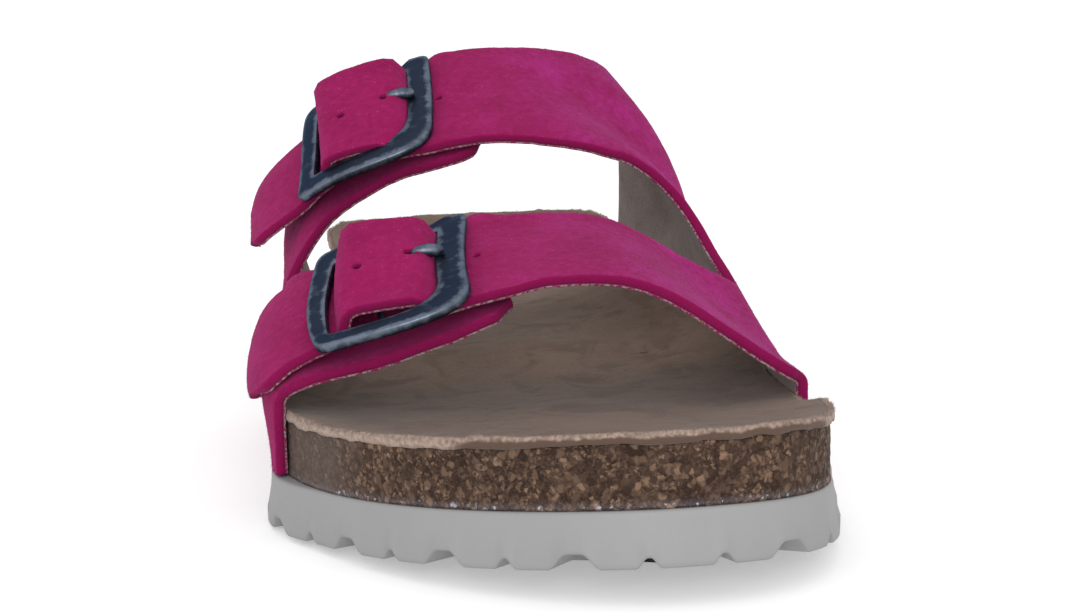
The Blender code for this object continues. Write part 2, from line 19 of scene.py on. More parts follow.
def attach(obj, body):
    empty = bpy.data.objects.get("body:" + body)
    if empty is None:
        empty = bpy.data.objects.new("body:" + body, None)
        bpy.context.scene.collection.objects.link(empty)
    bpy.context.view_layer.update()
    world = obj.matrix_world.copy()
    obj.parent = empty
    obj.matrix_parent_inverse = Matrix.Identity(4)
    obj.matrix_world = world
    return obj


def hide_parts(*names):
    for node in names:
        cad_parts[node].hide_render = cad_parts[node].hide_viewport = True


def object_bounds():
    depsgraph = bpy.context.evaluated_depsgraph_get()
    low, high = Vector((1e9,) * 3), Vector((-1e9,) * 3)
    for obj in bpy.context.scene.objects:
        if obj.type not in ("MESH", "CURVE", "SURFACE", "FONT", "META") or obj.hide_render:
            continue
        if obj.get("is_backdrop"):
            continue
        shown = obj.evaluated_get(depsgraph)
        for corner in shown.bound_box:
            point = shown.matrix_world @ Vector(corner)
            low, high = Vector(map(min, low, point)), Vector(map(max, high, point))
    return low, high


bl_info = {
    "name": "Buckled suede sandal",
    "version": (1, 0, 0),
    "blender": (4, 5, 0),
    "location": "3D View > Sidebar > Sandal",
    "description": "Builds the sole, footbed, straps and buckles of a suede sandal",
    "category": "Add Mesh",
}

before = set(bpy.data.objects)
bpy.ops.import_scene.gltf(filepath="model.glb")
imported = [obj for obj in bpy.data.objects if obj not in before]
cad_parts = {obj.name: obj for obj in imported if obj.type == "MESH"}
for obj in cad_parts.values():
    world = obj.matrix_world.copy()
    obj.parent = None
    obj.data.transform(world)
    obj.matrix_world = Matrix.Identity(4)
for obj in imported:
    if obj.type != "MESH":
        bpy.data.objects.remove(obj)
CAD_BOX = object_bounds()

MM = 0.001
CENTRE_X = -6.45
CENTRE_S = 125.0
BODY = "root"

# Sole outline, with the same rows as the solids
LENGTH = 250.0
HEEL_X = -1.0
TOE_X = 9.0
HEEL_ROUNDNESS = 2.2
TOE_ROUNDNESS = {"outer": 1.66, "inner": 3.0}
OUTWARD = {"outer": -1.0, "inner": 1.0}
Width = namedtuple("Width", "station outer inner")
WALK_STEP = 0.002
SOLE_WIDTHS = (
    Width(38, -35.6, 34.6),
    Width(65, -35.6, 31.4),
    Width(92, -37.6, 29.9),
    Width(120, -42.0, 34.0),
    Width(150, -48.2, 40.8),
    Width(180, -52.5, 43.3),
)

OUTSOLE_TOE_THICKNESS = 9.6
OUTSOLE_HEEL_THICKNESS = 11.5
SOLE_TAPER = 150.0
TOE_SPRING = 6.0
TOE_SPRING_START = 165.0
HEEL_ROLL = 1.2
HEEL_ROLL_LENGTH = 16.0
LEDGE_AT_STRAPS = 2.6
LEDGE_AT_ENDS = 0.4
LEDGE_FADE = 20.0
SOLE_TOP_INSET = 1.0
SOLE_FILLET = 0.9
SOLE_FLARE = 1.1
FLARE_POWER = 1.6
FOOT_ROUND = 0.5
WALL_FOOT = 0.6 * SOLE_FILLET
WALL_LEVELS = np.linspace(0.12, 0.94, 9)
# Share of the wall's height where the foam starts to darken towards the floor
DARKENING_START = 0.4
LUGS_PER_SIDE = 25
LUG_POINTS = 30
NOTCH_HEIGHT = {"narrow": 1.8, "wide": 2.6}
NOTCH_WIDTH = {"narrow": 0.34, "wide": 0.74}
NOTCH_ROOF = {"narrow": 0.03, "wide": 0.20}
NOTCH_REACH = 8.0
NOTCH_END = 9.0
GROOVE_SPAN = (0.10, 0.86)
GAP = 0.3

# Footbed heights
Bed = namedtuple("Bed", "station middle outer_rim inner_rim cup")
FOOTBED = (
    Bed(0, 35.6, 35.6, 35.6, 2.6),
    Bed(18, 25.4, 36.8, 37.1, 2.6),
    Bed(45, 23.0, 35.6, 37.0, 2.6),
    Bed(75, 24.6, 31.6, 35.8, 2.6),
    Bed(105, 26.0, 27.8, 33.4, 2.5),
    Bed(135, 23.4, 24.8, 27.4, 3.0),
    Bed(165, 20.2, 22.9, 23.4, 4.0),
    Bed(195, 21.2, 22.8, 23.0, 4.5),
    Bed(220, 21.9, 24.2, 24.3, 5.0),
    Bed(238, 24.4, 26.3, 26.3, 5.0),
    Bed(250, 28.1, 28.1, 28.1, 5.0),
)
BED_POINTS = 420
BED_RINGS = np.concatenate([np.linspace(0.0, 0.86, 26), np.linspace(0.88, 1.0, 12)])
UNDER_RINGS = np.linspace(1.0, 0.0, 9)
INSOLE_THICKNESS = 1.6
METATARSAL_PAD = {"x": -2.0, "s": 143.0, "height": 1.8, "half_x": 13.0, "half_s": 14.0}
SPINE_ENDS = (36.0, 200.0)

# Uneven surfaces, as layers of bumps
Bumps = namedtuple("Bumps", "height size seed")
CORK_PITS = (Bumps(0.16, 2.2, 1), Bumps(0.10, 0.9, 2))
CORK_PIT_DEPTH = 0.1
BED_RELIEF = (Bumps(0.22, 9.0, 11), Bumps(0.10, 2.5, 12))
RIM_FRAY = (Bumps(0.30, 2.2, 13), Bumps(0.20, 0.7, 14))
RIM_TATTER = (Bumps(0.45, 2.4, 15), Bumps(0.25, 0.9, 16))
RIM_HANG = Bumps(0.35, 3.0, 17)
STRAP_RIPPLE = (Bumps(0.10, 7.0, 21), Bumps(0.05, 2.4, 22))

# Cork block: rings of its faces, rows of its wall, where glue starts down the wall, and its outer side,
# greyed as painted shade
CORK_RINGS = np.linspace(0.0, 1.0, 7)
CORK_ROWS = 22
GLUE_START = 0.84
OuterShade = namedtuple("OuterShade", "x fade end share")
CORK_OUTER_SHADE = OuterShade(-38.0, 9.0, 215.0, 0.6)

# Foot form under the suede
Form = namedtuple(
    "Form", "station crown crown_x spring outer_lean inner_lean outer_drape inner_drape"
)
FOOT_FORM = (
    Form(76, 92.5, 1.0, 46.5, 7.2, 0.6, 0.0, -0.08),
    Form(103, 81.3, 1.0, 42.0, 7.0, 7.4, 0.1, -0.04),
    Form(120, 73.6, 2.0, 36.5, 5.0, 4.8, 0.12, 0.28),
    Form(137, 66.0, 2.5, 31.0, 3.2, 0.4, 0.15, -0.02),
    Form(150, 58.6, 3.5, 28.6, 3.2, 0.0, 0.15, 0.19),
    Form(165, 51.3, 5.0, 26.2, 2.4, 0.0, 0.15, 0.66),
    Form(178, 48.4, 6.0, 24.9, 0.9, 0.0, 0.35, 0.85),
    Form(190, 46.0, 7.0, 24.3, 0.1, 0.0, 0.55, 0.82),
    Form(214, 41.5, 8.5, 24.9, 0.0, 0.0, 0.62, 0.85),
)
ARCH_SHARE = 0.8
LEAN_SHARE = {"outer": 1.0, "inner": 0.5}
ROOT_GAP = 0.6
GIRTH_STEP = 0.004
STATION_STEP = 0.5

# Straps and tabs: girth runs from -1 at the outer sole edge over 0 at the crown to 1 at the inner
# sole edge, and each row gives the stations of the back and front edge there
Edge = namedtuple("Edge", "girth back front")
REAR_STRAP = (
    Edge(1.00, 76.5, 151.5),
    Edge(0.80, 78.5, 151.5),
    Edge(0.66, 82.5, 151.5),
    Edge(0.60, 84, 143),
    Edge(0.50, 88, 139.4),
    Edge(0.35, 95.6, 138.4),
    Edge(0.20, 99.8, 139.8),
    Edge(0.05, 102, 139.8),
    Edge(-0.10, 101.5, 137.2),
    Edge(-0.15, 101.2, 136.6),
    Edge(-0.21, 107.0, 135.4),
    Edge(-0.30, 106.6, 132.0),
    Edge(-0.40, 104.6, 128.4),
    Edge(-0.50, 100.5, 126),
    Edge(-0.62, 100, 125.5),
    Edge(-0.68, 101, 123.5),
    Edge(-0.71, 104, 119.5),
)
FRONT_STRAP = (
    Edge(1.00, 151.5, 203),
    Edge(0.80, 151.5, 204),
    Edge(0.66, 151.5, 205),
    Edge(0.60, 155, 206),
    Edge(0.50, 157.5, 206.3),
    Edge(0.35, 160, 205),
    Edge(0.20, 162.5, 203.5),
    Edge(0.05, 164.5, 201),
    Edge(-0.10, 163.5, 197),
    Edge(-0.16, 161.5, 196.6),
    Edge(-0.22, 169.0, 195.6),
    Edge(-0.30, 168.4, 194),
    Edge(-0.44, 165.0, 190),
    Edge(-0.62, 158.5, 189),
    Edge(-0.75, 157.5, 187),
    Edge(-0.81, 160.5, 180),
)
REAR_TAB = (
    Edge(-1.00, 84, 138),
    Edge(-0.80, 88, 138),
    Edge(-0.68, 91, 138),
    Edge(-0.62, 93.5, 136),
    Edge(-0.50, 99, 130.5),
    Edge(-0.35, 104.5, 130.5),
    Edge(-0.20, 107.5, 135.5),
    Edge(-0.125, 108.5, 134.5),
    Edge(-0.09, 112, 128.5),
)
FRONT_TAB = (
    Edge(-1.00, 138, 186.5),
    Edge(-0.80, 138, 188.5),
    Edge(-0.68, 138, 190.8),
    Edge(-0.62, 143.5, 192.3),
    Edge(-0.50, 152, 193.6),
    Edge(-0.35, 160, 195),
    Edge(-0.27, 163.5, 196.8),
    Edge(-0.20, 165.5, 196),
    Edge(-0.16, 169.5, 191.5),
)
Notch = namedtuple("Notch", "girth station")
Upper = namedtuple("Upper", "sheets notch columns row_step fibre_seed")
UPPERS = {
    "inner": Upper((REAR_STRAP, FRONT_STRAP), Notch(0.66, 151.5), 46, 0.0075, 3),
    "outer": Upper((REAR_TAB, FRONT_TAB), Notch(-0.68, 138.0), 40, 0.009, 5),
}
ROOT_ROWS = 36
SHOE_MIDDLE = (0.0, 150.0, 24.0)
SUEDE = 2.2
LINING_GAP = 0.02
LINING_BULGE = 0.5

# Cut edges: seeds of the back and front edge's stray, the length that a girth of 1 stands for in it,
# and how far the edge is rounded out at shares of the thickness
EDGE_SEEDS = {"rear": (4, 3), "front": (5, 6)}
STRAY_RUN = 90.0
EDGE_PROFILE = ((0.55, 0.10), (0.95, 0.30), (1.0, 0.55), (0.90, 0.80), (0.5, 0.95))

# Buckles: corners of each frame's middle line as (girth, station)
Buckle = namedtuple(
    "Buckle",
    "inner_back inner_front outer_front outer_back prong_station tab_tip strap_tip tip_standoff",
)
BUCKLES = {
    "rear": Buckle(
        (-0.187, 106.2), (-0.22, 138.5), (-0.495, 127.5), (-0.458, 100.5), 119.0, -0.09, -0.71, 4.6
    ),
    "front": Buckle(
        (-0.193, 166.5), (-0.25, 202.0), (-0.527, 193.8), (-0.435, 165.0), 179.5, -0.15, -0.81, -0.7
    ),
}
FRAME_GAP = 0.5
FRAME_THICKNESS = 1.8
FRAME_ROUND = 0.42
FRAME_CROWN = 0.12
BAR_POINTS = 16
BAR_RADIUS = 0.65
BAR_SAG = 1.1
SAG_POWER = 0.4
BAR_SHARE = 0.52
TAB_SINK = 2.5
TAB_TIP_SINK = 1.2
SINK_START = -0.62
SINK_END = -0.34
STRAP_RISE = 3.2
RISE_START = 0.05
RISE_END = -0.45
FRAME_OVER_STRAP = SUEDE + FRAME_GAP + FRAME_THICKNESS / 2
# The strap's rise through the buckle, at the inner and at the outer end of the frame's hole
Bridge = namedtuple("Bridge", "back front power")
BRIDGE = {"inner": Bridge(7.2, 2.6, 1.5), "outer": Bridge(8.6, 1.8, 0.75)}
BRIDGE_FOOT = 0.032
BRIDGE_RISE = 0.025
BRIDGE_FALL = 0.046
BRIDGE_TURN = 1.4

# Rounding of the frame's hole and rim: share of the side before and after each corner
HOLE_HALF = 2.6
CORNER_RUN = (0.36, 0.58)
HOLE_CORNERS = ((0.03, 0.03), CORNER_RUN, (0.06, 0.06), (0.05, 0.05))
RIM_CORNERS = ((0.05, 0.05), (0.30, 0.56), (0.10, 0.10), (0.08, 0.08))

# The frame's back bar dips under the strap
BACK_DIP = 1.6
BACK_DIP_RUN = 7.0
BACK_DIP_START = 0.045
BACK_DIP_FADE = 0.03

# The prong from the centre bar to the inner bar: distance from the inner bar's middle line, height
# over the frame's middle, radius
PRONG = (
    (8.5, -1.0, 0.6), (7.0, -0.3, 0.6), (6.4, 2.4, 0.5), (5.4, 3.2, 0.8), (4.2, 2.95, 1.1),
    (3.0, 2.5, 1.25), (2.0, 2.1, 1.2), (1.2, 1.95, 0.95), (0.7, 1.9, 0.5),
)
PRONG_STEPS = 6

# How much of the metal is rubbed bright, with a painted highlight over the burnish, most along the top
# edges
RUB_AND_HIGHLIGHT = {"top edge": 1.0, "lower edge": 0.3, "face": 0.0, "bar": 0.2, "prong": 0.8}

# Rebate of the footbed that the inner root lies in, deepest at the strap's front edge
REBATE = 3.4
REBATE_START = 150.0
REBATE_LENGTH = 45.0
REBATE_END = 213.0
REBATE_STEP = 4.0
REBATE_FADE = (0.3, 0.75)

# Raw rim of the footbed: how far out at shares of its depth, and where it is folded over thickest
RIM_PROFILE = ((0.30, 0.05), (0.55, 0.3), (0.60, 0.6), (0.45, 0.95))
RIM_FOLD = 1.1
RIM_FOLD_OUT = 0.5
RIM_FOLD_PLACE = (42.0, 214.0)
RIM_FOLD_REACH = 9.0
RIM_FIBRES = 14000
RIM_FIBRE_ROWS = 3

# How pale the rim is at the levels of its profile, least below the top round the toe's middle, and
# over how many of the top's rings it fades
RIM_PALE = (1.0, 0.55, 0.1, 0.0)
PALE_RINGS = 2.4
PALE_FADE = 1.8
Thin = namedtuple("Thin", "middle reach fade")
RIM_THIN = Thin(5.0, 26.0, 10.0)
RIM_SEED = 7

# Loose fibres
FRINGE_SHARE = 0.5
FRINGE_LEVEL = 0.3
NAP_STAND = 0.55
RIM_STAND = 0.8
FIBRE_LENGTHS = (0.3, 1.0)
RIM_FIBRE_LENGTHS = (0.3, 1.2)
FIBRE_WIDTH = 0.07
FIBRE_LEAN = 0.5
FIBRE_SINK = 0.15
FIBRE_TURNS = (0.0, 2.1, 4.2)
FIBRE_FACES = ((0, 1, 3), (1, 2, 3), (2, 0, 3), (0, 2, 1))

# Punched holes along each strap, as girth steps from the one that the prong uses
HOLE_STEPS = (-0.090, 0.105)
PRONG_HOLE_SHARE = 0.5


def length(name, description, millimetres):
    return FloatProperty(
        name=name, description=description, default=millimetres * MM, min=0.0, unit="LENGTH"
    )


class SandalSizes(bpy.types.PropertyGroup):
    """Sizes of the details that the solids leave out."""

    lining: length("Lining", "Thickness of the straps' lining", 0.45)
    edge_bulge: length("Edge bulge", "Roundness of cut suede edges", 0.28)
    edge_wander: length("Edge wander", "How far cut edges stray", 0.14)
    hole_radius: length("Hole radius", "Radius of punched holes", 0.95)
    cork_grain: length("Cork grain", "Width of a cork granule", 1.25)
    frame_band: length("Frame band", "Width of the buckles' bands", 5.2)
    nap_length: length("Nap length", "Length of loose suede fibres", 0.65)
    nap_count: IntProperty(
        name="Nap count", description="Loose fibres on each strap piece", default=30000, min=0
    )


def colour(name, description, default):
    return FloatVectorProperty(
        name=name, description=description, default=default, subtype="COLOR", min=0.0, max=1.0
    )


class SandalColours(bpy.types.PropertyGroup):
    """Colours of the sandal's finishes, scene linear."""

    suede: colour("Suede", "Straps, mid tone", (0.268, 0.0095, 0.085))
    suede_deep: colour("Suede deep", "Straps where the nap lies dark", (0.188, 0.005, 0.050))
    # Violet painted as the nap's sheen towards the inner side
    suede_violet_sheen: colour("Suede violet", "Straps with violet painted as sheen towards the inner side", (0.292, 0.016, 0.142))
    suede_cut: colour("Suede cut", "Cut edges of the straps", (0.190, 0.006, 0.058))
    suede_fleck: colour("Suede fleck", "Fibres that catch the light", (0.46, 0.12, 0.30))
    suede_sheen: colour("Suede sheen", "Light caught by the nap", (0.90, 0.32, 0.80))
    lining: colour("Lining", "Inside of the straps", (0.260, 0.210, 0.195))
    cork_dark: colour("Cork dark", "Binder between granules", (0.023, 0.011, 0.007))
    cork_light: colour("Cork light", "Pale granules", (0.245, 0.152, 0.100))
    # Painted shade greying the cork's outer side
    cork_outer_shade: colour("Cork outer shade", "Painted shade greying the outer side", (0.108, 0.080, 0.070))
    footbed: colour("Footbed", "Suede under the foot", (0.200, 0.136, 0.104))
    footbed_stain: colour("Footbed stain", "Blots on the footbed", (0.098, 0.060, 0.042))
    # Painted shade over the footbed's front, towards the toe
    footbed_toe_shade: colour("Footbed toe shade", "Painted shade towards the toe", (0.098, 0.066, 0.052))
    footbed_under: colour("Footbed under", "Rim below its pale edge, and under side", (0.088, 0.055, 0.041))
    footbed_rim: colour("Footbed rim", "Raw edge of the footbed suede", (0.340, 0.250, 0.205))
    foam: colour("Foam", "Moulded sole", (0.250, 0.250, 0.254))
    glue: colour("Glue", "Dried glue along the joint", (0.42, 0.45, 0.54))
    metal: colour("Metal", "Darkened buckle metal", (0.033, 0.039, 0.057))
    # Burnish and painted highlight on the buckles' edges, and paler blotches on their flats
    metal_burnish_and_highlight: colour("Metal burnish and highlight", "Burnished edges with painted highlight", (0.135, 0.160, 0.205))
    metal_grazing: colour("Metal grazing", "Tint of mirrored light at a low angle", (0.40, 0.45, 0.54))
    floor: colour("Floor", "Studio floor", (0.75, 0.75, 0.75))


# Curves and forms, for arrays of places at once


def mix(a, b, share):
    return a + (b - a) * share


def ease(share):
    share = np.clip(share, 0.0, 1.0)
    return share * share * (3.0 - 2.0 * share)


def curve(table, column, at):
    """A table's column at places along its first column, on a smooth curve through its rows."""
    rows = sorted(table)
    keys = np.array([row[0] for row in rows], float)
    values = np.array([getattr(row, column) for row in rows], float)
    slopes = np.zeros_like(values)
    slopes[1:-1] = (values[2:] - values[:-2]) / (keys[2:] - keys[:-2])
    at = np.clip(at, keys[0], keys[-1])
    i = np.clip(np.searchsorted(keys, at, "right") - 1, 0, len(keys) - 2)
    step = keys[i + 1] - keys[i]
    t = (at - keys[i]) / step
    return (
        values[i] * (1 + 2 * t) * (1 - t) ** 2
        + values[i + 1] * t * t * (3 - 2 * t)
        + step * slopes[i] * t * (1 - t) ** 2
        - step * slopes[i + 1] * t * t * (1 - t)
    )


# Multipliers and shifts that scramble a grid cell's numbers into one that looks random
HASH = (73856093, 19349663, 83492791, 2654435761)
SCRAMBLE = ((13, 1274126177), (15, 668265263))
HASH_LIMIT = 0x7FFFFFFF


def noise(points, size, seed=0):
    """Smooth random values from -1 to 1 at points, in bumps about as wide as size."""
    place = np.asarray(points, float) / size
    cell = np.floor(place).astype(np.int64)
    t = ease(place - cell)
    total = np.zeros(place.shape[:-1])
    for corner in itertools.product((0, 1), repeat=3):
        x, y, z = np.moveaxis(cell + np.array(corner), -1, 0)
        mixed = (x * HASH[0]) ^ (y * HASH[1]) ^ (z * HASH[2]) ^ (seed * HASH[3])
        for shift, factor in SCRAMBLE:
            mixed = (mixed ^ (mixed >> shift)) * factor & HASH_LIMIT
        share = np.prod(np.where(np.array(corner) == 1, t, 1 - t), axis=-1)
        total += share * (mixed / (HASH_LIMIT // 2) - 1.0)
    return total


def relief(points, layers):
    """Layers of bumps, added up."""
    return sum(layer.height * noise(points, layer.size, layer.seed) for layer in layers)


def ragged(points, seed):
    """The stray of a cut edge: slow waves and short nicks."""
    return relief(points, (Bumps(1.0, 5.0, seed), Bumps(0.7, 1.4, seed + 30)))


def edge_walk(side, steps=240):
    """One side of the sole's outline from heel to toe: x, s and the length walked."""
    heel, ball = SOLE_WIDTHS[0], SOLE_WIDTHS[-1]
    heel_power, toe_power = 2 / HEEL_ROUNDNESS, 2 / TOE_ROUNDNESS[side]
    turn = np.linspace(0.0, math.pi / 2, steps + 1)
    waist = np.linspace(heel.station, ball.station, steps + 1)[:-1]
    heel_reach, toe_reach = getattr(heel, side) - HEEL_X, getattr(ball, side) - TOE_X
    x = np.concatenate([
        HEEL_X + heel_reach * np.sin(turn[:-1]) ** heel_power,
        curve(SOLE_WIDTHS, side, waist),
        TOE_X + toe_reach * np.abs(np.cos(turn)) ** toe_power,
    ])
    s = np.concatenate([
        heel.station * (1 - np.cos(turn[:-1]) ** heel_power),
        waist,
        ball.station + (LENGTH - ball.station) * np.sin(turn) ** toe_power,
    ])
    return x, s, np.concatenate([[0.0], np.cumsum(np.hypot(np.diff(x), np.diff(s)))])


WALKS = {side: edge_walk(side) for side in OUTWARD}


def edge_point(side, share, grow=0.0):
    """Outline points at shares of one side's length, moved outwards by grow."""
    x, s, run = WALKS[side]

    def at(place):
        length = np.clip(place, 0.0, 1.0) * run[-1]
        return np.interp(length, run, x), np.interp(length, run, s)

    here, after, before = at(share), at(share + WALK_STEP), at(share - WALK_STEP)
    dx, ds = after[0] - before[0], after[1] - before[1]
    size = np.hypot(dx, ds)
    return here[0] + OUTWARD[side] * ds / size * grow, here[1] - OUTWARD[side] * dx / size * grow


def edge_x(side, s):
    x, walk_s, _ = WALKS[side]
    return np.interp(s, walk_s, x)


def floor_rise(s):
    toe = np.maximum(s - TOE_SPRING_START, 0.0) / (LENGTH - TOE_SPRING_START)
    heel = np.maximum(HEEL_ROLL_LENGTH - s, 0.0) / HEEL_ROLL_LENGTH
    return TOE_SPRING * toe**2 + HEEL_ROLL * heel**2


def outsole_top(s):
    return floor_rise(s) + mix(OUTSOLE_HEEL_THICKNESS, OUTSOLE_TOE_THICKNESS, ease(s / SOLE_TAPER))


def ledge(side, s):
    first, last = (REAR_TAB, FRONT_TAB) if side == "outer" else (REAR_STRAP, FRONT_STRAP)
    back = ease((s - (first[0].back - LEDGE_FADE)) / LEDGE_FADE)
    ahead = ease((last[0].front + LEDGE_FADE - s) / LEDGE_FADE)
    return mix(LEDGE_AT_ENDS, LEDGE_AT_STRAPS, back * ahead)


def footbed_top(x, s):
    outer, inner = edge_x("outer", s), edge_x("inner", s)
    share = (x - outer) / np.maximum(inner - outer, 1e-6)
    rim = np.where(
        share < 0.5, curve(FOOTBED, "outer_rim", s), curve(FOOTBED, "inner_rim", s)
    )
    away = np.clip(np.abs(2 * share - 1), 0.0, 1.0) ** curve(FOOTBED, "cup", s)
    pad = METATARSAL_PAD
    off_x, off_s = (x - pad["x"]) / pad["half_x"], (s - pad["s"]) / pad["half_s"]
    return mix(curve(FOOTBED, "middle", s), rim, away) + pad["height"] * np.exp(-(off_x**2) - off_s**2)


def rebate(s):
    """How far the footbed's inner wall is set in at a station."""
    deep = ease((s - REBATE_START) / REBATE_LENGTH)
    return REBATE * deep * ease((REBATE_END - s) / REBATE_STEP)


def by_side(girth, outer, inner):
    return np.where(girth < 0, outer, inner)


def form_point(girth, s):
    """Points of the foot's form at girth shares and stations."""
    away = by_side(girth, OUTWARD["outer"], OUTWARD["inner"])
    low, high = REBATE_FADE
    inner_wall = edge_x("inner", s) - rebate(s) * ease((girth - low) / (high - low))
    wall = by_side(girth, edge_x("outer", s), inner_wall) + away * GAP
    lean = by_side(girth, curve(FOOT_FORM, "outer_lean", s), curve(FOOT_FORM, "inner_lean", s))
    drape = by_side(girth, curve(FOOT_FORM, "outer_drape", s), curve(FOOT_FORM, "inner_drape", s))
    spring, crown = curve(FOOT_FORM, "spring", s), curve(FOOT_FORM, "crown", s)
    down = (np.abs(girth) - ARCH_SHARE) / (1 - ARCH_SHARE)
    lean_share = by_side(girth, LEAN_SHARE["outer"], LEAN_SHARE["inner"])
    turn = math.pi / 2 * np.minimum(np.abs(girth) / ARCH_SHARE, 1.0)
    across = np.sin(turn)
    rise = mix(np.cos(turn), (1 + np.cos(math.pi * across)) / 2, drape)
    arch_x = mix(curve(FOOT_FORM, "crown_x", s), wall + away * lean, across)
    wall_x = wall + away * lean * (1 - ease(down / lean_share))
    wall_z = mix(spring, outsole_top(s) + ROOT_GAP, down)
    x = np.where(down > 0, wall_x, arch_x)
    z = np.where(down > 0, wall_z, mix(spring, crown, rise))
    return np.stack([x, s + 0.0 * x, z], axis=-1)


def unit(vectors):
    return vectors / np.maximum(np.linalg.norm(vectors, axis=-1, keepdims=True), 1e-12)


def form_frame(girth, s):
    """The form's points with its directions along the girth, forward and outwards."""
    along = form_point(girth + GIRTH_STEP, s) - form_point(girth - GIRTH_STEP, s)
    ahead = form_point(girth, s + STATION_STEP) - form_point(girth, s - STATION_STEP)
    return form_point(girth, s), unit(along), unit(ahead), unit(np.cross(along, ahead))


def lifted(girth, s, lift):
    point, _, _, out = form_frame(girth, s)
    return point + out * np.asarray(lift)[..., None]


def bar_girths(buckle, s):
    """Girths of the frame's inner bar, centre bar and outer bar at a station."""
    back, front = buckle.inner_back[1], buckle.inner_front[1]
    share = np.clip((s - back) / (front - back), 0.0, 1.0)
    inner = mix(buckle.inner_back[0], buckle.inner_front[0], share)
    outer = mix(buckle.outer_back[0], buckle.outer_front[0], share)
    return inner, mix(inner, outer, BAR_SHARE), outer


def tab_lift(buckle, girth, s):
    """Height of a tab over the foot's form: it sinks below the buckle, most at its tip."""
    start = bar_girths(buckle, s)[0]
    sink = TAB_SINK * ease((girth - SINK_START) / (SINK_END - SINK_START))
    return -sink - TAB_TIP_SINK * ease((girth - start) / (buckle.tab_tip - start))


def strap_base(girth):
    return STRAP_RISE * ease((RISE_START - girth) / (RISE_START - RISE_END))


def strap_lift(buckle, girth, s):
    """Height of a strap over the foot's form: it rises through the buckle, and its tip stands free."""
    inner, _, outer = bar_girths(buckle, s)
    back, front = buckle.inner_back[1], buckle.inner_front[1]
    run = CORNER_RUN[0] * (front - back)
    turned = 1 - np.sqrt(1 - np.clip((s - (front - HOLE_HALF - run)) / run, 0.0, 1.0))
    start = inner - BRIDGE_FOOT - CORNER_RUN[1] * (inner - outer) * turned**2
    rising = ease((start - girth) / BRIDGE_RISE)
    falling = ease((girth - outer - BRIDGE_FOOT) / BRIDGE_FALL)
    free = ease((outer - BRIDGE_FOOT - girth) / (outer - BRIDGE_FOOT - buckle.strap_tip))
    behind = 1 - np.clip((s - back) / (front - back), 0.0, 1.0)
    heights = [mix(end.front, end.back, behind**end.power) for end in BRIDGE.values()]
    bridge = mix(*heights, ease(BRIDGE_TURN * (inner - girth) / (inner - outer)))
    return strap_base(girth) + bridge * rising * falling + buckle.tip_standoff * free


def on_frame(girth, s, lift=0.0):
    girth, s = np.asarray(girth, float), np.asarray(s, float)
    return lifted(girth, s, strap_base(girth) + FRAME_OVER_STRAP + lift)


# Meshes


def to_world(points):
    flipped = np.asarray(points, float) * (1.0, -1.0, 1.0)
    return (flipped + (-CENTRE_X, CENTRE_S, 0.0)) * MM


def add_piece(name, points, faces, material, replaced=(), marks=None):
    """One piece from points in shoe coordinates, riding on the shoe and taking its slot's finish."""
    mesh = bpy.data.meshes.new(name)
    mesh.from_pydata(to_world(points).tolist(), [], [list(face) for face in faces])
    for key, values in (marks or {}).items():
        mark = mesh.attributes.new(key, "FLOAT", "POINT")
        mark.data.foreach_set("value", np.asarray(values, np.float32))
    bm = bmesh.new()
    bm.from_mesh(mesh)
    bmesh.ops.remove_doubles(bm, verts=bm.verts, dist=1e-7)
    bmesh.ops.recalc_face_normals(bm, faces=bm.faces)
    bm.to_mesh(mesh)
    bm.free()
    mesh.shade_smooth()
    mesh.materials.append(material)
    made = bpy.data.objects.new(name, mesh)
    bpy.context.scene.collection.objects.link(made)
    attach(made, BODY)
    if replaced:
        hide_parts(*replaced)
    return made


def ring_faces(ring_count, size, wrap_rings=False):
    """Quads between closed rings of equal size, numbered ring by ring."""
    used = ring_count if wrap_rings else ring_count - 1
    ring, place = np.meshgrid(np.arange(used), np.arange(size), indexing="ij")
    here, after = ring * size, (ring + 1) % ring_count * size
    beside = (place + 1) % size
    return np.stack([here + place, here + beside, after + beside, after + place], -1).reshape(-1, 4)


def outline(per_side, grow=None):
    """The sole's outline as one loop: up the outer side to the toe and back down the inner side."""
    ahead = np.arange(per_side + 1) / per_side
    sides = (("outer", ahead), ("inner", ahead[-2:0:-1]))
    loops = [edge_point(side, share, grow(side, share) if grow else 0.0) for side, share in sides]
    return tuple(np.concatenate(parts) for parts in zip(*loops))


def stack(x, s, z):
    return np.stack([x, s, z + 0.0 * x], axis=-1)


def bed_edge(grow=0.0):
    """The footbed's outline with the rebate for the inner root, moved outwards by grow."""

    def moved(side, share):
        return grow - rebate(edge_point(side, share)[1]) if side == "inner" else grow

    return outline(BED_POINTS, moved)


def pushed(ring, outside, by):
    """A ring of points, each moved level towards its point outside."""
    moved = ring.copy()
    moved[:, :2] += unit(outside - ring[:, :2]) * by[:, None]
    return moved


def bed_rings(shares, height):
    """Rings of a footbed surface, at shares of the way from its spine out to the outline."""
    x, s = bed_edge()
    mid_s = np.clip(s, *SPINE_ENDS)
    mid_x = (edge_x("outer", mid_s) + edge_x("inner", mid_s)) / 2
    rings = []
    for share in shares:
        ring_x, ring_s = mix(mid_x, x, share), mix(mid_s, s, share)
        rings.append(stack(ring_x, ring_s, height(ring_x, ring_s)))
    return rings


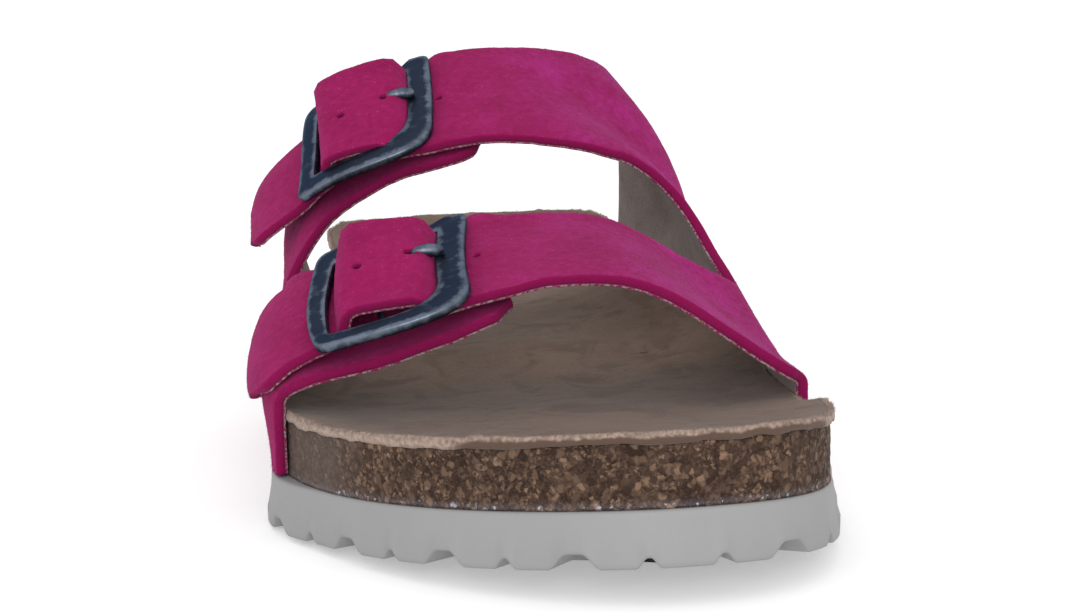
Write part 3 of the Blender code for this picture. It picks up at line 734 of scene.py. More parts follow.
def sheet_grid(edges, place, girths, upper, lift, wander):
    """Points of one strap's underside, row by row along its girths, with edges that stray a little."""
    notch = upper.notch
    root = girths * math.copysign(1.0, notch.girth) >= abs(notch.girth) - 1e-9
    run = np.stack([girths * STRAY_RUN, 0 * girths, 0 * girths], -1)
    back_stray, front_stray = (wander * ragged(run, seed) for seed in EDGE_SEEDS[place])
    back = curve(edges, "back", girths) + back_stray
    front = curve(edges, "front", girths) + front_stray
    if place == "rear":
        front = np.where(root, notch.station, front)
    else:
        back = np.where(root, notch.station, back)
    s = mix(back[:, None], front[:, None], np.linspace(0.0, 1.0, upper.columns)[None, :])
    girth = np.broadcast_to(girths[:, None], s.shape)
    return lifted(girth, s, lift(girth, s))


def joined_sheet(upper, lift, wander):
    """Two straps on one root as a single sheet: its points and quads."""
    points, quads, seam = [], [], None
    for edges, (place, buckle) in zip(upper.sheets, BUCKLES.items()):
        split, tip = upper.notch.girth, edges[-1].girth
        root = np.linspace(edges[0].girth, split, ROOT_ROWS)
        free = np.linspace(split, tip, round(abs(tip - split) / upper.row_step))
        girths = np.concatenate([root, free[1:]])
        grid = sheet_grid(edges, place, girths, upper, partial(lift, buckle), wander)
        index = np.arange(grid.size // 3).reshape(-1, upper.columns) + sum(map(len, points))
        if seam is None:
            seam = index[: len(root), -1]
        else:
            index[: len(root), 0] = seam
        points.append(grid.reshape(-1, 3))
        corners = (index[:-1, :-1], index[:-1, 1:], index[1:, 1:], index[1:, :-1])
        quads.append(np.stack(corners, -1).reshape(-1, 4))
    return np.concatenate(points), np.concatenate(quads)


def punch(points, quads, holes, radius):
    """Cuts round holes into a sheet: drops the quads inside and draws the rim onto the circle."""
    points = points.copy()
    for centre in holes:
        away = np.linalg.norm(points - centre, axis=1)
        inside = away[quads].mean(axis=1) < radius
        rim = np.intersect1d(quads[inside], quads[~inside])
        points[rim] = centre + (points[rim] - centre) * (radius / away[rim])[:, None]
        quads = quads[~inside]
    return points, quads


def compact(points, quads):
    used, index = np.unique(quads, return_inverse=True)
    return points[used], index.reshape(quads.shape)


def sheet_normals(points, quads):
    a, b, c, d = (points[corner] for corner in quads.T)
    across = np.cross(c - a, d - b)
    normals = np.zeros_like(points)
    for corner in range(4):
        np.add.at(normals, quads[:, corner], across)
    return unit(normals)


def sheet_border(points, quads):
    """A sheet's normals, its border edges and, at its border points, the way out of the sheet."""
    normals = sheet_normals(points, quads)
    edges = np.concatenate([quads[:, [k, (k + 1) % 4]] for k in range(4)])
    ends = np.sort(edges, axis=1)
    _, first, uses = np.unique(ends, axis=0, return_index=True, return_counts=True)
    border = edges[first[uses == 1]]
    outward = np.zeros_like(points)
    side = np.cross(points[border[:, 1]] - points[border[:, 0]], normals[border[:, 0]])
    for corner in (0, 1):
        np.add.at(outward, border[:, corner], unit(side))
    return normals, border, unit(outward)


def shell(points, quads, low, high, bulge):
    """A sheet thickened from low to high along its normals, with rounded cut edges.

    Gives points, faces and a mark that is 1 on the cut edges.
    """
    normals, border, outward = sheet_border(points, quads)
    count = len(points)
    rim = np.unique(border)
    place = np.full(count, -1)
    place[rim] = np.arange(len(rim))
    rows = [
        points[rim] + normals[rim] * mix(low, high, level) + outward[rim] * (bulge * out)
        for out, level in EDGE_PROFILE
    ]
    made = [points + normals * low, points + normals * high, *rows]
    starts = [place + 2 * count + k * len(rim) for k in range(len(rows))]
    ladder = [np.arange(count), *starts, np.arange(count) + count]
    faces = [quads[:, ::-1], quads + count]
    start, end = border.T
    for a, b in zip(ladder, ladder[1:]):
        faces.append(np.stack([a[start], a[end], b[end], b[start]], -1))
    mark = np.concatenate([np.zeros(2 * count), np.ones(len(rim) * len(rows))])
    return np.concatenate(made), np.concatenate(faces), mark


def spikes(roots, directions, lengths, rng):
    """Thin three-sided fibres that stand on their roots."""
    helper = unit(rng.normal(size=roots.shape))
    side = unit(np.cross(directions, helper)) * FIBRE_WIDTH / 2
    other = np.cross(unit(directions), side)
    base = [roots + side * math.cos(turn) + other * math.sin(turn) for turn in FIBRE_TURNS]
    tip = roots + directions * lengths[:, None]
    points = np.stack([*base, tip], axis=1).reshape(-1, 3)
    start = np.arange(len(roots))[:, None] * 4
    return points, np.concatenate([start + np.array(face) for face in FIBRE_FACES])


def fringe(points, quads, low, high, count, length, rng):
    """Loose fibres along a sheet's cut edges, between two heights over it."""
    normals, border, outward = sheet_border(points, quads)
    start, end = border[rng.integers(len(border), size=count)].T
    along, level = rng.random((2, count, 1))
    roots = mix(points[start], points[end], along) + normals[start] * mix(low, high, level)
    lean = FIBRE_LEAN * rng.normal(size=roots.shape)
    directions = unit(outward[start] + normals[start] * (level - FRINGE_LEVEL) + lean)
    return spikes(roots, directions, length * rng.uniform(*FIBRE_LENGTHS, count), rng)


def nap(points, quads, height, count, length, rng):
    """Short fibres that lie over a sheet's outer face."""
    a, b, c, d = points[quads[rng.integers(len(quads), size=count)]].transpose(1, 0, 2)
    across, along = rng.random((2, count, 1))
    normal = unit(np.cross(c - a, d - b))
    roots = mix(mix(a, b, across), mix(d, c, across), along) + normal * height
    directions = unit(NAP_STAND * normal + rng.normal(size=roots.shape) * FIBRE_LEAN)
    return spikes(roots, directions, length * rng.uniform(*FIBRE_LENGTHS, count), rng)


def joined(*meshes):
    """Several meshes of triangles as one."""
    starts = np.cumsum([0] + [len(points) for points, _ in meshes])
    return (
        np.concatenate([points for points, _ in meshes]),
        np.concatenate([faces + start for (_, faces), start in zip(meshes, starts)]),
    )


def smooth_path(points, steps):
    """Points on a smooth line through given ones."""
    points = np.asarray(points, float)
    padded = np.concatenate([points[:1], points, points[-1:]])
    t = np.linspace(0.0, 1.0, steps, endpoint=False)[:, None]
    pieces = []
    for a, b, c, d in zip(padded, padded[1:], padded[2:], padded[3:]):
        pieces.append(
            b + 0.5 * t * (c - a + t * (2 * a - 5 * b + 4 * c - d + t * (3 * (b - c) + d - a)))
        )
    return np.concatenate([*pieces, points[-1:]])


def tube_rings(path, radii, across, sides=16):
    """Round rings along a path that turns about the direction across."""
    run = unit(np.gradient(path, axis=0))
    rise = unit(np.cross(run, across))
    flat = np.cross(rise, run)
    turn = np.linspace(0.0, 2 * math.pi, sides, endpoint=False)
    spread = np.cos(turn)[None, :, None] * flat[:, None] + np.sin(turn)[None, :, None] * rise[:, None]
    return path[:, None] + spread * np.asarray(radii, float)[:, None, None]


def closed_tube(rings):
    """Points and faces of rings with both ends closed to a point."""
    count, sides = rings.shape[:2]
    points = np.concatenate([rings.reshape(-1, 3), rings[:1].mean(axis=1), rings[-1:].mean(axis=1)])
    faces = [list(face) for face in ring_faces(count, sides)]
    for k in range(sides):
        n = (k + 1) % sides
        faces.append([count * sides, n, k])
        faces.append([count * sides + 1, (count - 1) * sides + k, (count - 1) * sides + n])
    return points, faces


# Shader expressions

X_AXIS, Y_AXIS = 0, 1


class Wire:
    """A shader value that can be used in sums, with numbers or with other values."""

    def __init__(self, finish, socket):
        self.finish, self.socket = finish, socket

    def _math(self, operation, a, b=0.0):
        return self.finish.node("ShaderNodeMath", {"operation": operation}, {0: a, 1: b})

    def __add__(self, other):
        return self._math("ADD", self, other)

    __radd__ = __add__

    def __sub__(self, other):
        return self._math("SUBTRACT", self, other)

    def __rsub__(self, other):
        return self._math("SUBTRACT", other, self)

    def __mul__(self, other):
        return self._math("MULTIPLY", self, other)

    __rmul__ = __mul__

    def above(self, level, blur):
        """0 below a level, 1 above it, with a soft step as wide as blur."""
        return self.finish.node(
            "ShaderNodeMapRange",
            {"interpolation_type": "SMOOTHSTEP"},
            {"Value": self, "From Min": level - blur / 2, "From Max": level + blur / 2},
        )


class Finish:
    """A material under construction around one Principled shader."""

    def __init__(self, name):
        self.material = bpy.data.materials.new(name)
        self.material.use_nodes = True
        self.nodes, self.links = self.material.node_tree.nodes, self.material.node_tree.links
        self.shader = self.nodes["Principled BSDF"]
        self.place = self.node("ShaderNodeTexCoord", output="Object")

    def node(self, kind, settings=None, inputs=None, output=0):
        """Adds a node: its settings first, then its sockets' values or links. Gives one output."""
        made = self.nodes.new(kind)
        for key, value in (settings or {}).items():
            if key == "stops":
                ramp = made.color_ramp.elements
                while len(ramp) < len(value):
                    ramp.new(0.5)
                for element, (position, shade) in zip(ramp, value):
                    element.position, element.color = position, (*shade, 1.0)
            else:
                setattr(made, key, value)
        for key, value in (inputs or {}).items():
            self.put(made.inputs[key], value)
        return Wire(self, made.outputs[output])

    def put(self, socket, value):
        if isinstance(value, Wire):
            self.links.new(value.socket, socket)
        elif socket.type == "RGBA" and len(value) == 3:
            socket.default_value = (*value, 1.0)
        else:
            socket.default_value = value

    def set(self, **sockets):
        for key, value in sockets.items():
            self.put(self.shader.inputs[key.replace("_", " ").title().replace("Ior", "IOR")], value)

    def speckle(self, size, detail=2.0, roughness=0.5, warp=0.0, place=None):
        """Cloudy values from 0 to 1 in patches about as wide as size, in metres."""
        inputs = {"Scale": 1.0 / size, "Detail": detail, "Roughness": roughness, "Distortion": warp}
        return self.node("ShaderNodeTexNoise", {}, {"Vector": place or self.place, **inputs})

    def blend(self, share, a, b):
        return self.node("ShaderNodeMix", {"data_type": "RGBA"}, {0: share, 6: a, 7: b}, 2)

    def ramp(self, value, stops):
        return self.node("ShaderNodeValToRGB", {"stops": stops}, {0: value})

    def mark(self, name):
        return self.node("ShaderNodeAttribute", {"attribute_name": name}, {}, "Fac")

    def stretched(self, scale):
        return self.node("ShaderNodeVectorMath", {"operation": "MULTIPLY"}, {0: self.place, 1: scale})

    def along(self, axis):
        return self.node("ShaderNodeSeparateXYZ", {}, {0: self.place}, axis)

    def bump(self, height, depth, strength):
        """Raises the surface by depth times height, and gives the finished material."""
        inputs = {"Strength": strength, "Distance": depth, "Height": height}
        self.set(normal=self.node("ShaderNodeBump", {}, inputs))
        return self.material


def shaded(tone, share):
    return tuple(share * value for value in tone)


def suede_finish(colours):
    """Napped suede: cloudy crimson with violet painted as sheen towards the inner side, darker cut edges
    and a faint sheen.
    """
    finish = Finish("strap_suede_nap")
    clouds = finish.speckle(0.011, 4.0)
    nap_tone = finish.speckle(0.0016, 3.0)
    grain = finish.speckle(0.00034, 2.0)
    inward = finish.along(X_AXIS)
    # Painted sheen: the suede turns violet towards the inner side
    body = finish.blend(
        (inward * 22.0 + clouds * 0.9).above(0.75, 1.1), colours.suede, colours.suede_violet_sheen
    )
    tone = clouds * 0.5 + nap_tone * 0.42 + grain * 0.30 - 0.11
    face = finish.blend(tone.above(0.5, 0.5), colours.suede_deep, body)
    fleck = grain.above(0.68, 0.1) * nap_tone.above(0.56, 0.1)
    face = finish.blend(fleck * 0.45, face, colours.suede_fleck)
    face = finish.blend(finish.mark("cut"), face, colours.suede_cut)
    finish.set(
        base_color=face, roughness=0.95, specular_ior_level=0.04,
        sheen_weight=0.10, sheen_roughness=0.5, sheen_tint=colours.suede_sheen,
    )
    return finish.bump(grain * 0.6 + nap_tone * 0.9 + clouds * 0.4, 0.0003, 0.8)


def lining_finish(colours):
    """Pale brushed lining inside the straps, its cut edge broken by suede fibres."""
    finish = Finish("strap_lining")
    clouds, fluff = finish.speckle(0.006, 3.0), finish.speckle(0.0006, 3.0)
    brushed = (clouds * 0.5 + fluff * 0.5).above(0.5, 0.5)
    face = finish.blend(brushed, shaded(colours.lining, 0.65), colours.lining)
    edge = finish.blend(fluff.above(0.52, 0.2), colours.suede_cut, colours.lining)
    face = finish.blend(finish.mark("cut"), face, edge)
    finish.set(base_color=face, roughness=0.95, specular_ior_level=0.1, sheen_weight=0.1)
    return finish.bump(fluff, 0.0002, 0.6)


def cork_finish(colours, grain):
    """Pressed cork: small granules of many browns in a dark binder, pale glue along the joint, and painted
    shade greying its outer side.
    """
    finish = Finish("pressed_cork")
    swirl = finish.node("ShaderNodeTexNoise", {}, {"Vector": finish.place, "Scale": 900.0}, "Color")
    warped = finish.node(
        "ShaderNodeVectorMath", {"operation": "MULTIPLY_ADD"}, {0: swirl, 1: (0.0013,) * 3, 2: finish.place}
    )
    big, big_tint, small, small_tint = (
        finish.node("ShaderNodeTexVoronoi", {"feature": "F1"}, {"Vector": warped, "Scale": 1.0 / size}, out)
        for size in (grain, grain * 0.55) for out in ("Distance", "Color")
    )
    lot = finish.node("ShaderNodeSeparateColor", {}, {0: big_tint}, 0)
    fine_lot = finish.node("ShaderNodeSeparateColor", {}, {0: small_tint}, 1)
    pick = finish.speckle(0.003, 2.0).above(0.5, 0.12)
    clouds, fine = finish.speckle(0.007, 3.0), finish.speckle(0.0005, 3.0)
    shade = lot * (1 - pick) + fine_lot * pick
    dark, light = tuple(colours.cork_dark), tuple(colours.cork_light)
    mid, warm = (tuple(mix(a, b, share) for a, b in zip(dark, light)) for share in (0.16, 0.40))
    browns = ((0.14, dark), (0.48, mid), (0.74, warm), (1.0, light))
    face = finish.ramp(shade * 0.75 + clouds * 0.5 - 0.12, browns)
    gaps = (big * (1 - pick) + small * pick).above(0.62, 0.4)
    face = finish.blend(gaps * 0.6, face, dark)
    face = finish.blend(fine.above(0.60, 0.2) * 0.3, face, warm)
    # Painted shade: the outer side is greyed
    face = finish.blend(finish.mark("worn"), face, colours.cork_outer_shade)
    glue = finish.mark("joint") * (finish.speckle(0.0012, 2.0).above(0.66, 0.06) * 0.8 + 0.10)
    face = finish.blend(glue, face, colours.glue)
    finish.set(base_color=face, roughness=0.85, specular_ior_level=0.2)
    return finish.bump(fine * 0.5 - gaps * 0.7 + shade * 0.6, 0.0004, 0.8)


def footbed_finish(colours):
    """Taupe suede under the foot, with stains, scuffs, painted shade towards the toe and a pale raw rim."""
    finish = Finish("footbed_suede_nap")
    clouds, fluff = finish.speckle(0.022, 4.0), finish.speckle(0.0009, 3.0)
    brushed = (clouds * 0.7 + fluff * 0.4).above(0.52, 0.5)
    face = finish.blend(brushed, shaded(colours.footbed, 0.66), colours.footbed)
    stain = finish.speckle(0.010, 4.0, 0.6, warp=0.8).above(0.56, 0.14)
    face = finish.blend(stain * 0.5, face, colours.footbed_stain)
    scratch = finish.speckle(0.0020, 2.0, place=finish.stretched((0.28, 1.0, 1.0)), warp=0.7)
    scuffs = scratch.above(0.69, 0.07) * finish.speckle(0.009, 1.0).above(0.52, 0.1)
    face = finish.blend(scuffs * 0.75, face, shaded(colours.footbed, 0.35))
    # Painted shade: the footbed darkens towards its front
    toe_shade = (finish.along(Y_AXIS) * -14.0).above(1.05, 0.7)
    face = finish.blend(toe_shade * 0.55, face, colours.footbed_toe_shade)
    face = finish.blend(finish.mark("under"), face, colours.footbed_under)
    pale, fray = finish.mark("cut"), finish.speckle(0.0008, 3.0)
    rim = finish.blend(fray.above(0.5, 0.4), shaded(colours.footbed_rim, 0.62), colours.footbed_rim)
    face = finish.blend((pale + (fray - 0.5) * 0.9 * pale).above(0.5, 0.5), face, rim)
    finish.set(base_color=face, roughness=0.95, specular_ior_level=0.1, sheen_weight=0.1)
    return finish.bump(fluff * 0.7 + clouds * 0.5 + fray * pale - scuffs * 0.6, 0.0003, 0.7)


def foam_finish(colours):
    """Moulded foam: even light grey, faintly mottled, darker towards the floor."""
    finish = Finish("moulded_foam")
    clouds, fine = finish.speckle(0.02, 3.0), finish.speckle(0.0007, 2.0)
    face = finish.blend(clouds.above(0.5, 0.6), shaded(colours.foam, 0.95), colours.foam)
    # Darker towards the floor
    face = finish.blend(finish.mark("dust") * 0.25, face, shaded(colours.foam, 0.75))
    finish.set(base_color=face, roughness=0.5 + fine * 0.15, specular_ior_level=0.3)
    return finish.bump(fine + clouds * 0.3, 0.00008, 0.4)


def metal_finish(colours):
    """Darkened metal, burnished a little along its edges, where a painted highlight lies as well."""
    finish = Finish("buckle_gunmetal")
    clouds, fine = finish.speckle(0.003, 4.0, 0.65), finish.speckle(0.0006, 3.0)
    # Edges get burnish with a painted highlight, and the flats get paler blotches
    rub = finish.mark("rub") * (clouds * 1.5 - 0.05) + clouds.above(0.56, 0.22) * 0.36
    face = finish.blend(rub.above(0.5, 0.7), colours.metal, colours.metal_burnish_and_highlight)
    finish.set(
        base_color=face, metallic=1.0, roughness=0.30 + fine * 0.26, specular_tint=colours.metal_grazing
    )
    return finish.bump(clouds * 0.8 + fine * 0.4, 0.0002, 0.45)


def plain_finish(name, shade, glow):
    """An even matt surface with a little light of its own."""
    finish = Finish(name)
    finish.set(base_color=shade, roughness=0.9, specular_ior_level=0.0)
    finish.set(emission_color=shade, emission_strength=glow)
    return finish.material


def shared(name, make, *values):
    """A finish made once and used by every piece that shares it."""
    found = bpy.data.materials.get(name)
    return found or make(*values)


# Pieces


def notch_heights(share):
    """Height of the lower edge's notches at shares along a side, and of those that run right across."""
    edge, across = np.zeros_like(share), np.zeros_like(share)
    for lug in range(LUGS_PER_SIDE):
        kind = "wide" if lug % 2 else "narrow"
        middle = (lug + 0.5) / LUGS_PER_SIDE
        away = np.abs(share - middle) * LUGS_PER_SIDE
        roof, foot = NOTCH_ROOF[kind] / 2, NOTCH_WIDTH[kind] / 2
        height = NOTCH_HEIGHT[kind] * (1 - ease((away - roof) / (foot - roof)))
        edge += height
        if kind == "wide" and GROOVE_SPAN[0] < middle < GROOVE_SPAN[1]:
            across += height
    return edge, across


class SANDAL_OT_outsole(bpy.types.Operator):
    """Moulded sole with a rounded ledge, a flared wall and notched lugs."""

    bl_idname = "sandal.outsole"
    bl_label = "Outsole"

    def execute(self, context):
        per_side = LUGS_PER_SIDE * LUG_POINTS
        ahead = np.arange(per_side + 1) / per_side
        shares = np.concatenate([ahead, ahead[-2:0:-1]])
        notch, groove = notch_heights(shares)

        def ring(grow, height):
            x, s = outline(per_side, grow)
            return stack(x, s, height(s))

        def at_ledge(extra):
            return lambda side, share: ledge(side, edge_point(side, share)[1]) + extra

        def inset(by):
            return lambda side, share: -by

        def over_floor(rise):
            return lambda s: floor_rise(s) + rise

        outer, inner = np.array(edge_point("outer", shares)), np.array(edge_point("inner", shares))
        spine = (outer + inner) / 2
        rim = ring(inset(SOLE_TOP_INSET), outsole_top)
        rings = []
        for share in (0.0, 0.5):
            x, s = mix(spine, rim.T[:2], share)
            rings.append(stack(x, s, outsole_top(s)))
        rings.append(rim)
        for turn in np.linspace(0.0, math.pi / 2, 5):
            drop, back = SOLE_FILLET * (1 - math.cos(turn)), SOLE_FILLET * (1 - math.sin(turn))
            rings.append(ring(at_ledge(-back), lambda s: outsole_top(s) - drop))
        # How much darker each ring is, more towards the floor
        dust = [0.0] * len(rings)
        for share in WALL_LEVELS:

            def wall(s):
                return mix(outsole_top(s) - SOLE_FILLET, floor_rise(s) + notch + WALL_FOOT, share)

            rings.append(ring(at_ledge(SOLE_FLARE * share**FLARE_POWER), wall))
            dust.append(max(share - DARKENING_START, 0.0))
        for turn in np.linspace(0.0, math.pi / 2, 4):
            drop = FOOT_ROUND * (1 - math.sin(turn))
            out = SOLE_FLARE - FOOT_ROUND * (1 - math.cos(turn))
            rings.append(ring(at_ledge(out), over_floor(notch + drop)))
        rings.append(ring(inset(NOTCH_REACH), over_floor(notch)))
        tread = ring(inset(NOTCH_END), over_floor(groove))
        for share in (0.0, 0.5, 1.0):
            x, s = mix(tread.T[:2], spine, share)
            rings.append(stack(x, s, floor_rise(s) + groove))
        dust += [1.0] * (len(rings) - len(dust))
        material = shared("moulded_foam", foam_finish, context.scene.sandal_colours)
        add_piece(
            "outsole_moulding", np.concatenate(rings), ring_faces(len(rings), len(shares)), material,
            ("outsole",), {"dust": np.repeat(dust, len(shares))},
        )
        return {"FINISHED"}


class SANDAL_OT_cork(bpy.types.Operator):
    """Cork block with a pitted wall."""

    bl_idname = "sandal.cork"
    bl_label = "Cork midsole"

    def execute(self, context):
        def top(x, s):
            return footbed_top(x, s) - INSOLE_THICKNESS - GAP / 2

        def bottom(x, s):
            return outsole_top(s) + GAP / 4

        over = bed_rings(CORK_RINGS, top)
        under = bed_rings(CORK_RINGS[::-1], bottom)
        outside = np.stack(bed_edge(1.0), -1)
        wall = []
        for share in np.linspace(0.0, 1.0, CORK_ROWS + 2)[1:-1]:
            level = mix(over[-1], under[0], share)
            wall.append(pushed(level, outside, relief(level, CORK_PITS) - CORK_PIT_DEPTH))
        rings = over + wall + under
        points = np.concatenate(rings)
        joint = np.zeros(len(rings))
        down = np.arange(CORK_ROWS) / CORK_ROWS
        joint[len(over) : len(over) + CORK_ROWS] = ease((down - GLUE_START) / (1 - GLUE_START))
        # Painted shade along the outer side, stopping short of the toe
        worn = CORK_OUTER_SHADE.share * ease((CORK_OUTER_SHADE.x - points[:, 0]) / CORK_OUTER_SHADE.fade)
        worn *= points[:, 1] < CORK_OUTER_SHADE.end
        colours, sizes = context.scene.sandal_colours, context.scene.sandal_sizes
        material = shared("pressed_cork", cork_finish, colours, sizes.cork_grain)
        count = len(outside)
        add_piece(
            "cork_block", points, ring_faces(len(rings), count), material, ("cork_midsole",),
            {"joint": np.repeat(joint, count), "worn": worn},
        )
        return {"FINISHED"}


class SANDAL_OT_footbed(bpy.types.Operator):
    """Suede sheet over the cork, with a raw fuzzy rim."""

    bl_idname = "sandal.footbed"
    bl_label = "Footbed"

    def execute(self, context):
        colours, sizes = context.scene.sandal_colours, context.scene.sandal_sizes

        def top(x, s):
            return footbed_top(x, s) + relief(stack(x, s, 0.0), BED_RELIEF)

        def bottom(x, s):
            return footbed_top(x, s) - INSOLE_THICKNESS

        over = bed_rings(BED_RINGS, top)
        under = bed_rings(UNDER_RINGS, bottom)
        outside = np.stack(bed_edge(1.0), -1)
        count = len(outside)
        off = (over[-1][:, :2] - RIM_FOLD_PLACE) / RIM_FOLD_REACH
        fold = RIM_FOLD * np.exp(-(off**2).sum(axis=1))
        rim = []
        for bulge, drop in RIM_PROFILE:
            level = mix(over[-1], under[0], drop)
            level = pushed(level, outside, bulge + relief(level, RIM_FRAY) + RIM_FOLD_OUT * fold)
            hang = RIM_HANG.height * (1 + noise(level, RIM_HANG.size, RIM_HANG.seed)) + fold
            level[:, 2] += relief(level, RIM_TATTER) * (1 - drop) - hang * drop
            rim.append(level)
        rings = over + rim + under

        from_edge = np.arange(len(over)) - len(over)
        below = np.arange(len(rings)) >= len(over)
        pale = np.full(len(rings), RIM_PALE[-1])
        pale[: len(over)] = ease((from_edge + PALE_RINGS) / PALE_FADE)
        pale[len(over) : len(over) + len(RIM_PALE)] = RIM_PALE
        ends = ease((np.abs(outside[:, 0] - RIM_THIN.middle) - RIM_THIN.reach) / RIM_THIN.fade)
        cut = np.maximum(pale[:, None], ends * below[:, None])
        material = shared("footbed_suede_nap", footbed_finish, colours)
        add_piece(
            "footbed_sheet", np.concatenate(rings), ring_faces(len(rings), count), material,
            ("insole",), {"cut": cut.ravel(), "under": np.repeat(below, count)},
        )

        rng = np.random.default_rng(RIM_SEED)
        band = np.stack([over[-2], over[-1], *rim], axis=1)
        pick, row = (rng.integers(most, size=RIM_FIBRES) for most in (count, RIM_FIBRE_ROWS))
        beside, low = rng.random((2, RIM_FIBRES, 1))
        after = (pick + 1) % count
        roots = mix(mix(band[pick, row], band[after, row], beside), band[pick, row + 1], low)
        out = np.full_like(roots, RIM_STAND)
        out[:, :2] = unit(outside - over[-1][:, :2])[pick]
        directions = unit(out + FIBRE_LEAN * rng.normal(size=roots.shape))
        lengths = sizes.nap_length / MM * rng.uniform(*RIM_FIBRE_LENGTHS, RIM_FIBRES) + FIBRE_SINK
        points, faces = spikes(roots - directions * FIBRE_SINK, directions, lengths, rng)
        add_piece(
            "footbed_nap", points, faces, material, (), {"cut": np.ones(len(points))}
        )
        return {"FINISHED"}


def strap_holes(buckle):
    """Middles of a strap's punched holes, the prong's first, on its underside."""
    s = np.array(buckle.prong_station)
    inner, bar, _ = bar_girths(buckle, s)
    girths = mix(bar, inner, PRONG_HOLE_SHARE) + np.array((0.0, *HOLE_STEPS))
    return lifted(girths, s, strap_lift(buckle, girths, s))


class SANDAL_OT_straps(bpy.types.Operator):
    """Suede straps and buckle tabs with their lining."""

    bl_idname = "sandal.straps"
    bl_label = "Straps"

    def execute(self, context):
        sizes, colours = context.scene.sandal_sizes, context.scene.sandal_colours
        lining, bulge, fibre = sizes.lining / MM, sizes.edge_bulge / MM, sizes.nap_length / MM
        suede = shared("strap_suede_nap", suede_finish, colours)
        inside = shared("strap_lining", lining_finish, colours)
        for side, lift in (("inner", strap_lift), ("outer", tab_lift)):
            points, quads = joined_sheet(UPPERS[side], lift, sizes.edge_wander / MM)
            if side == "inner":
                holes = np.concatenate([strap_holes(buckle) for buckle in BUCKLES.values()])
                points, quads = punch(points, quads, holes, sizes.hole_radius / MM)
            points, quads = compact(points, quads)
            if (sheet_normals(points, quads) * (points - SHOE_MIDDLE)).sum() < 0:
                quads = quads[:, ::-1]
            made, faces, cut = shell(points, quads, lining, SUEDE, bulge)
            ripple = sheet_normals(points, quads) * relief(points, STRAP_RIPPLE)[:, None]
            made[len(points) : 2 * len(points)] += ripple
            add_piece(
                f"strap_{side}_suede", made, faces, suede, (f"upper_{side}",), {"cut": cut}
            )
            rng = np.random.default_rng(UPPERS[side].fibre_seed)
            loose = round(sizes.nap_count * FRINGE_SHARE)
            fuzz, fuzz_faces = joined(
                fringe(points, quads, lining, SUEDE, loose, fibre, rng),
                nap(points, quads, SUEDE - FIBRE_SINK, sizes.nap_count - loose, fibre, rng),
            )
            uncut = np.zeros(len(fuzz))
            add_piece(f"strap_{side}_nap", fuzz, fuzz_faces, suede, (), {"cut": uncut})
            made, faces, cut = shell(points, quads, 0.0, lining - LINING_GAP, bulge * LINING_BULGE)
            add_piece(f"strap_{side}_lining", made, faces, inside, (), {"cut": cut})
        return {"FINISHED"}


def offset_corners(corners, by):
    """Corners of a flat polygon, moved outwards by a distance."""
    ahead = unit(np.roll(corners, -1, axis=0) - corners)
    normal = np.stack([ahead[:, 1], -ahead[:, 0]], axis=-1)
    before = np.roll(normal, 1, axis=0)
    return corners + (normal + before) * by / (1 + (normal * before).sum(axis=1, keepdims=True))


def rounded_route(corners, corner_shares, corner_steps=12, side_steps=12):
    """A closed line round four corners, each rounded over shares of the sides before and after it."""
    route = []
    for i, corner in enumerate(corners):
        before, after = corners[i - 1], corners[(i + 1) % 4]
        enter, leave = mix(corner, before, corner_shares[i][0]), mix(corner, after, corner_shares[i][1])
        for t in np.linspace(0.0, 1.0, corner_steps):
            route.append(mix(mix(enter, corner, t), mix(corner, leave, t), t))
        reach = mix(after, corner, corner_shares[(i + 1) % 4][0])
        for t in np.linspace(0.0, 1.0, side_steps + 1)[1:-1]:
            route.append(mix(leave, reach, t))
    return np.array(route)


def back_dip(buckle, route):
    """How far the frame lies below its plane along its route: only the back bar dips."""
    girth, s = route.T
    inner, _, outer = bar_girths(buckle, s)
    back = mix(buckle.inner_back[1], buckle.outer_back[1], (inner - girth) / (inner - outer))
    near = ease((back + HOLE_HALF + BACK_DIP_RUN - s) / BACK_DIP_RUN)
    clear = (np.minimum(inner - girth, girth - outer) - BACK_DIP_START) / BACK_DIP_FADE
    return BACK_DIP * near * ease(clear)


def band_profile(half, thick, corner, steps=4):
    """A rounded rectangle across a band, slightly crowned on top, with its marks for burnish and painted
    highlight.
    """
    points, marks = [], []
    for turn_x, turn_z in ((1, 1), (-1, 1), (-1, -1), (1, -1)):
        start = math.atan2(turn_z, turn_x) - math.pi / 4
        for t in np.linspace(0.0, math.pi / 2, steps):
            points.append((
                turn_x * (half - corner) + corner * math.cos(start + t),
                turn_z * (thick - corner) + corner * math.sin(start + t),
            ))
            marks.append(RUB_AND_HIGHLIGHT["top edge"] if turn_z > 0 else RUB_AND_HIGHLIGHT["lower edge"])
        if turn_z > 0 and turn_x > 0:
            for share in (0.5, 0.0, -0.5):
                points.append((share * (half - corner), thick + FRAME_CROWN * (1 - share * share)))
                marks.append(RUB_AND_HIGHLIGHT["face"])
    return np.array(points), np.array(marks)


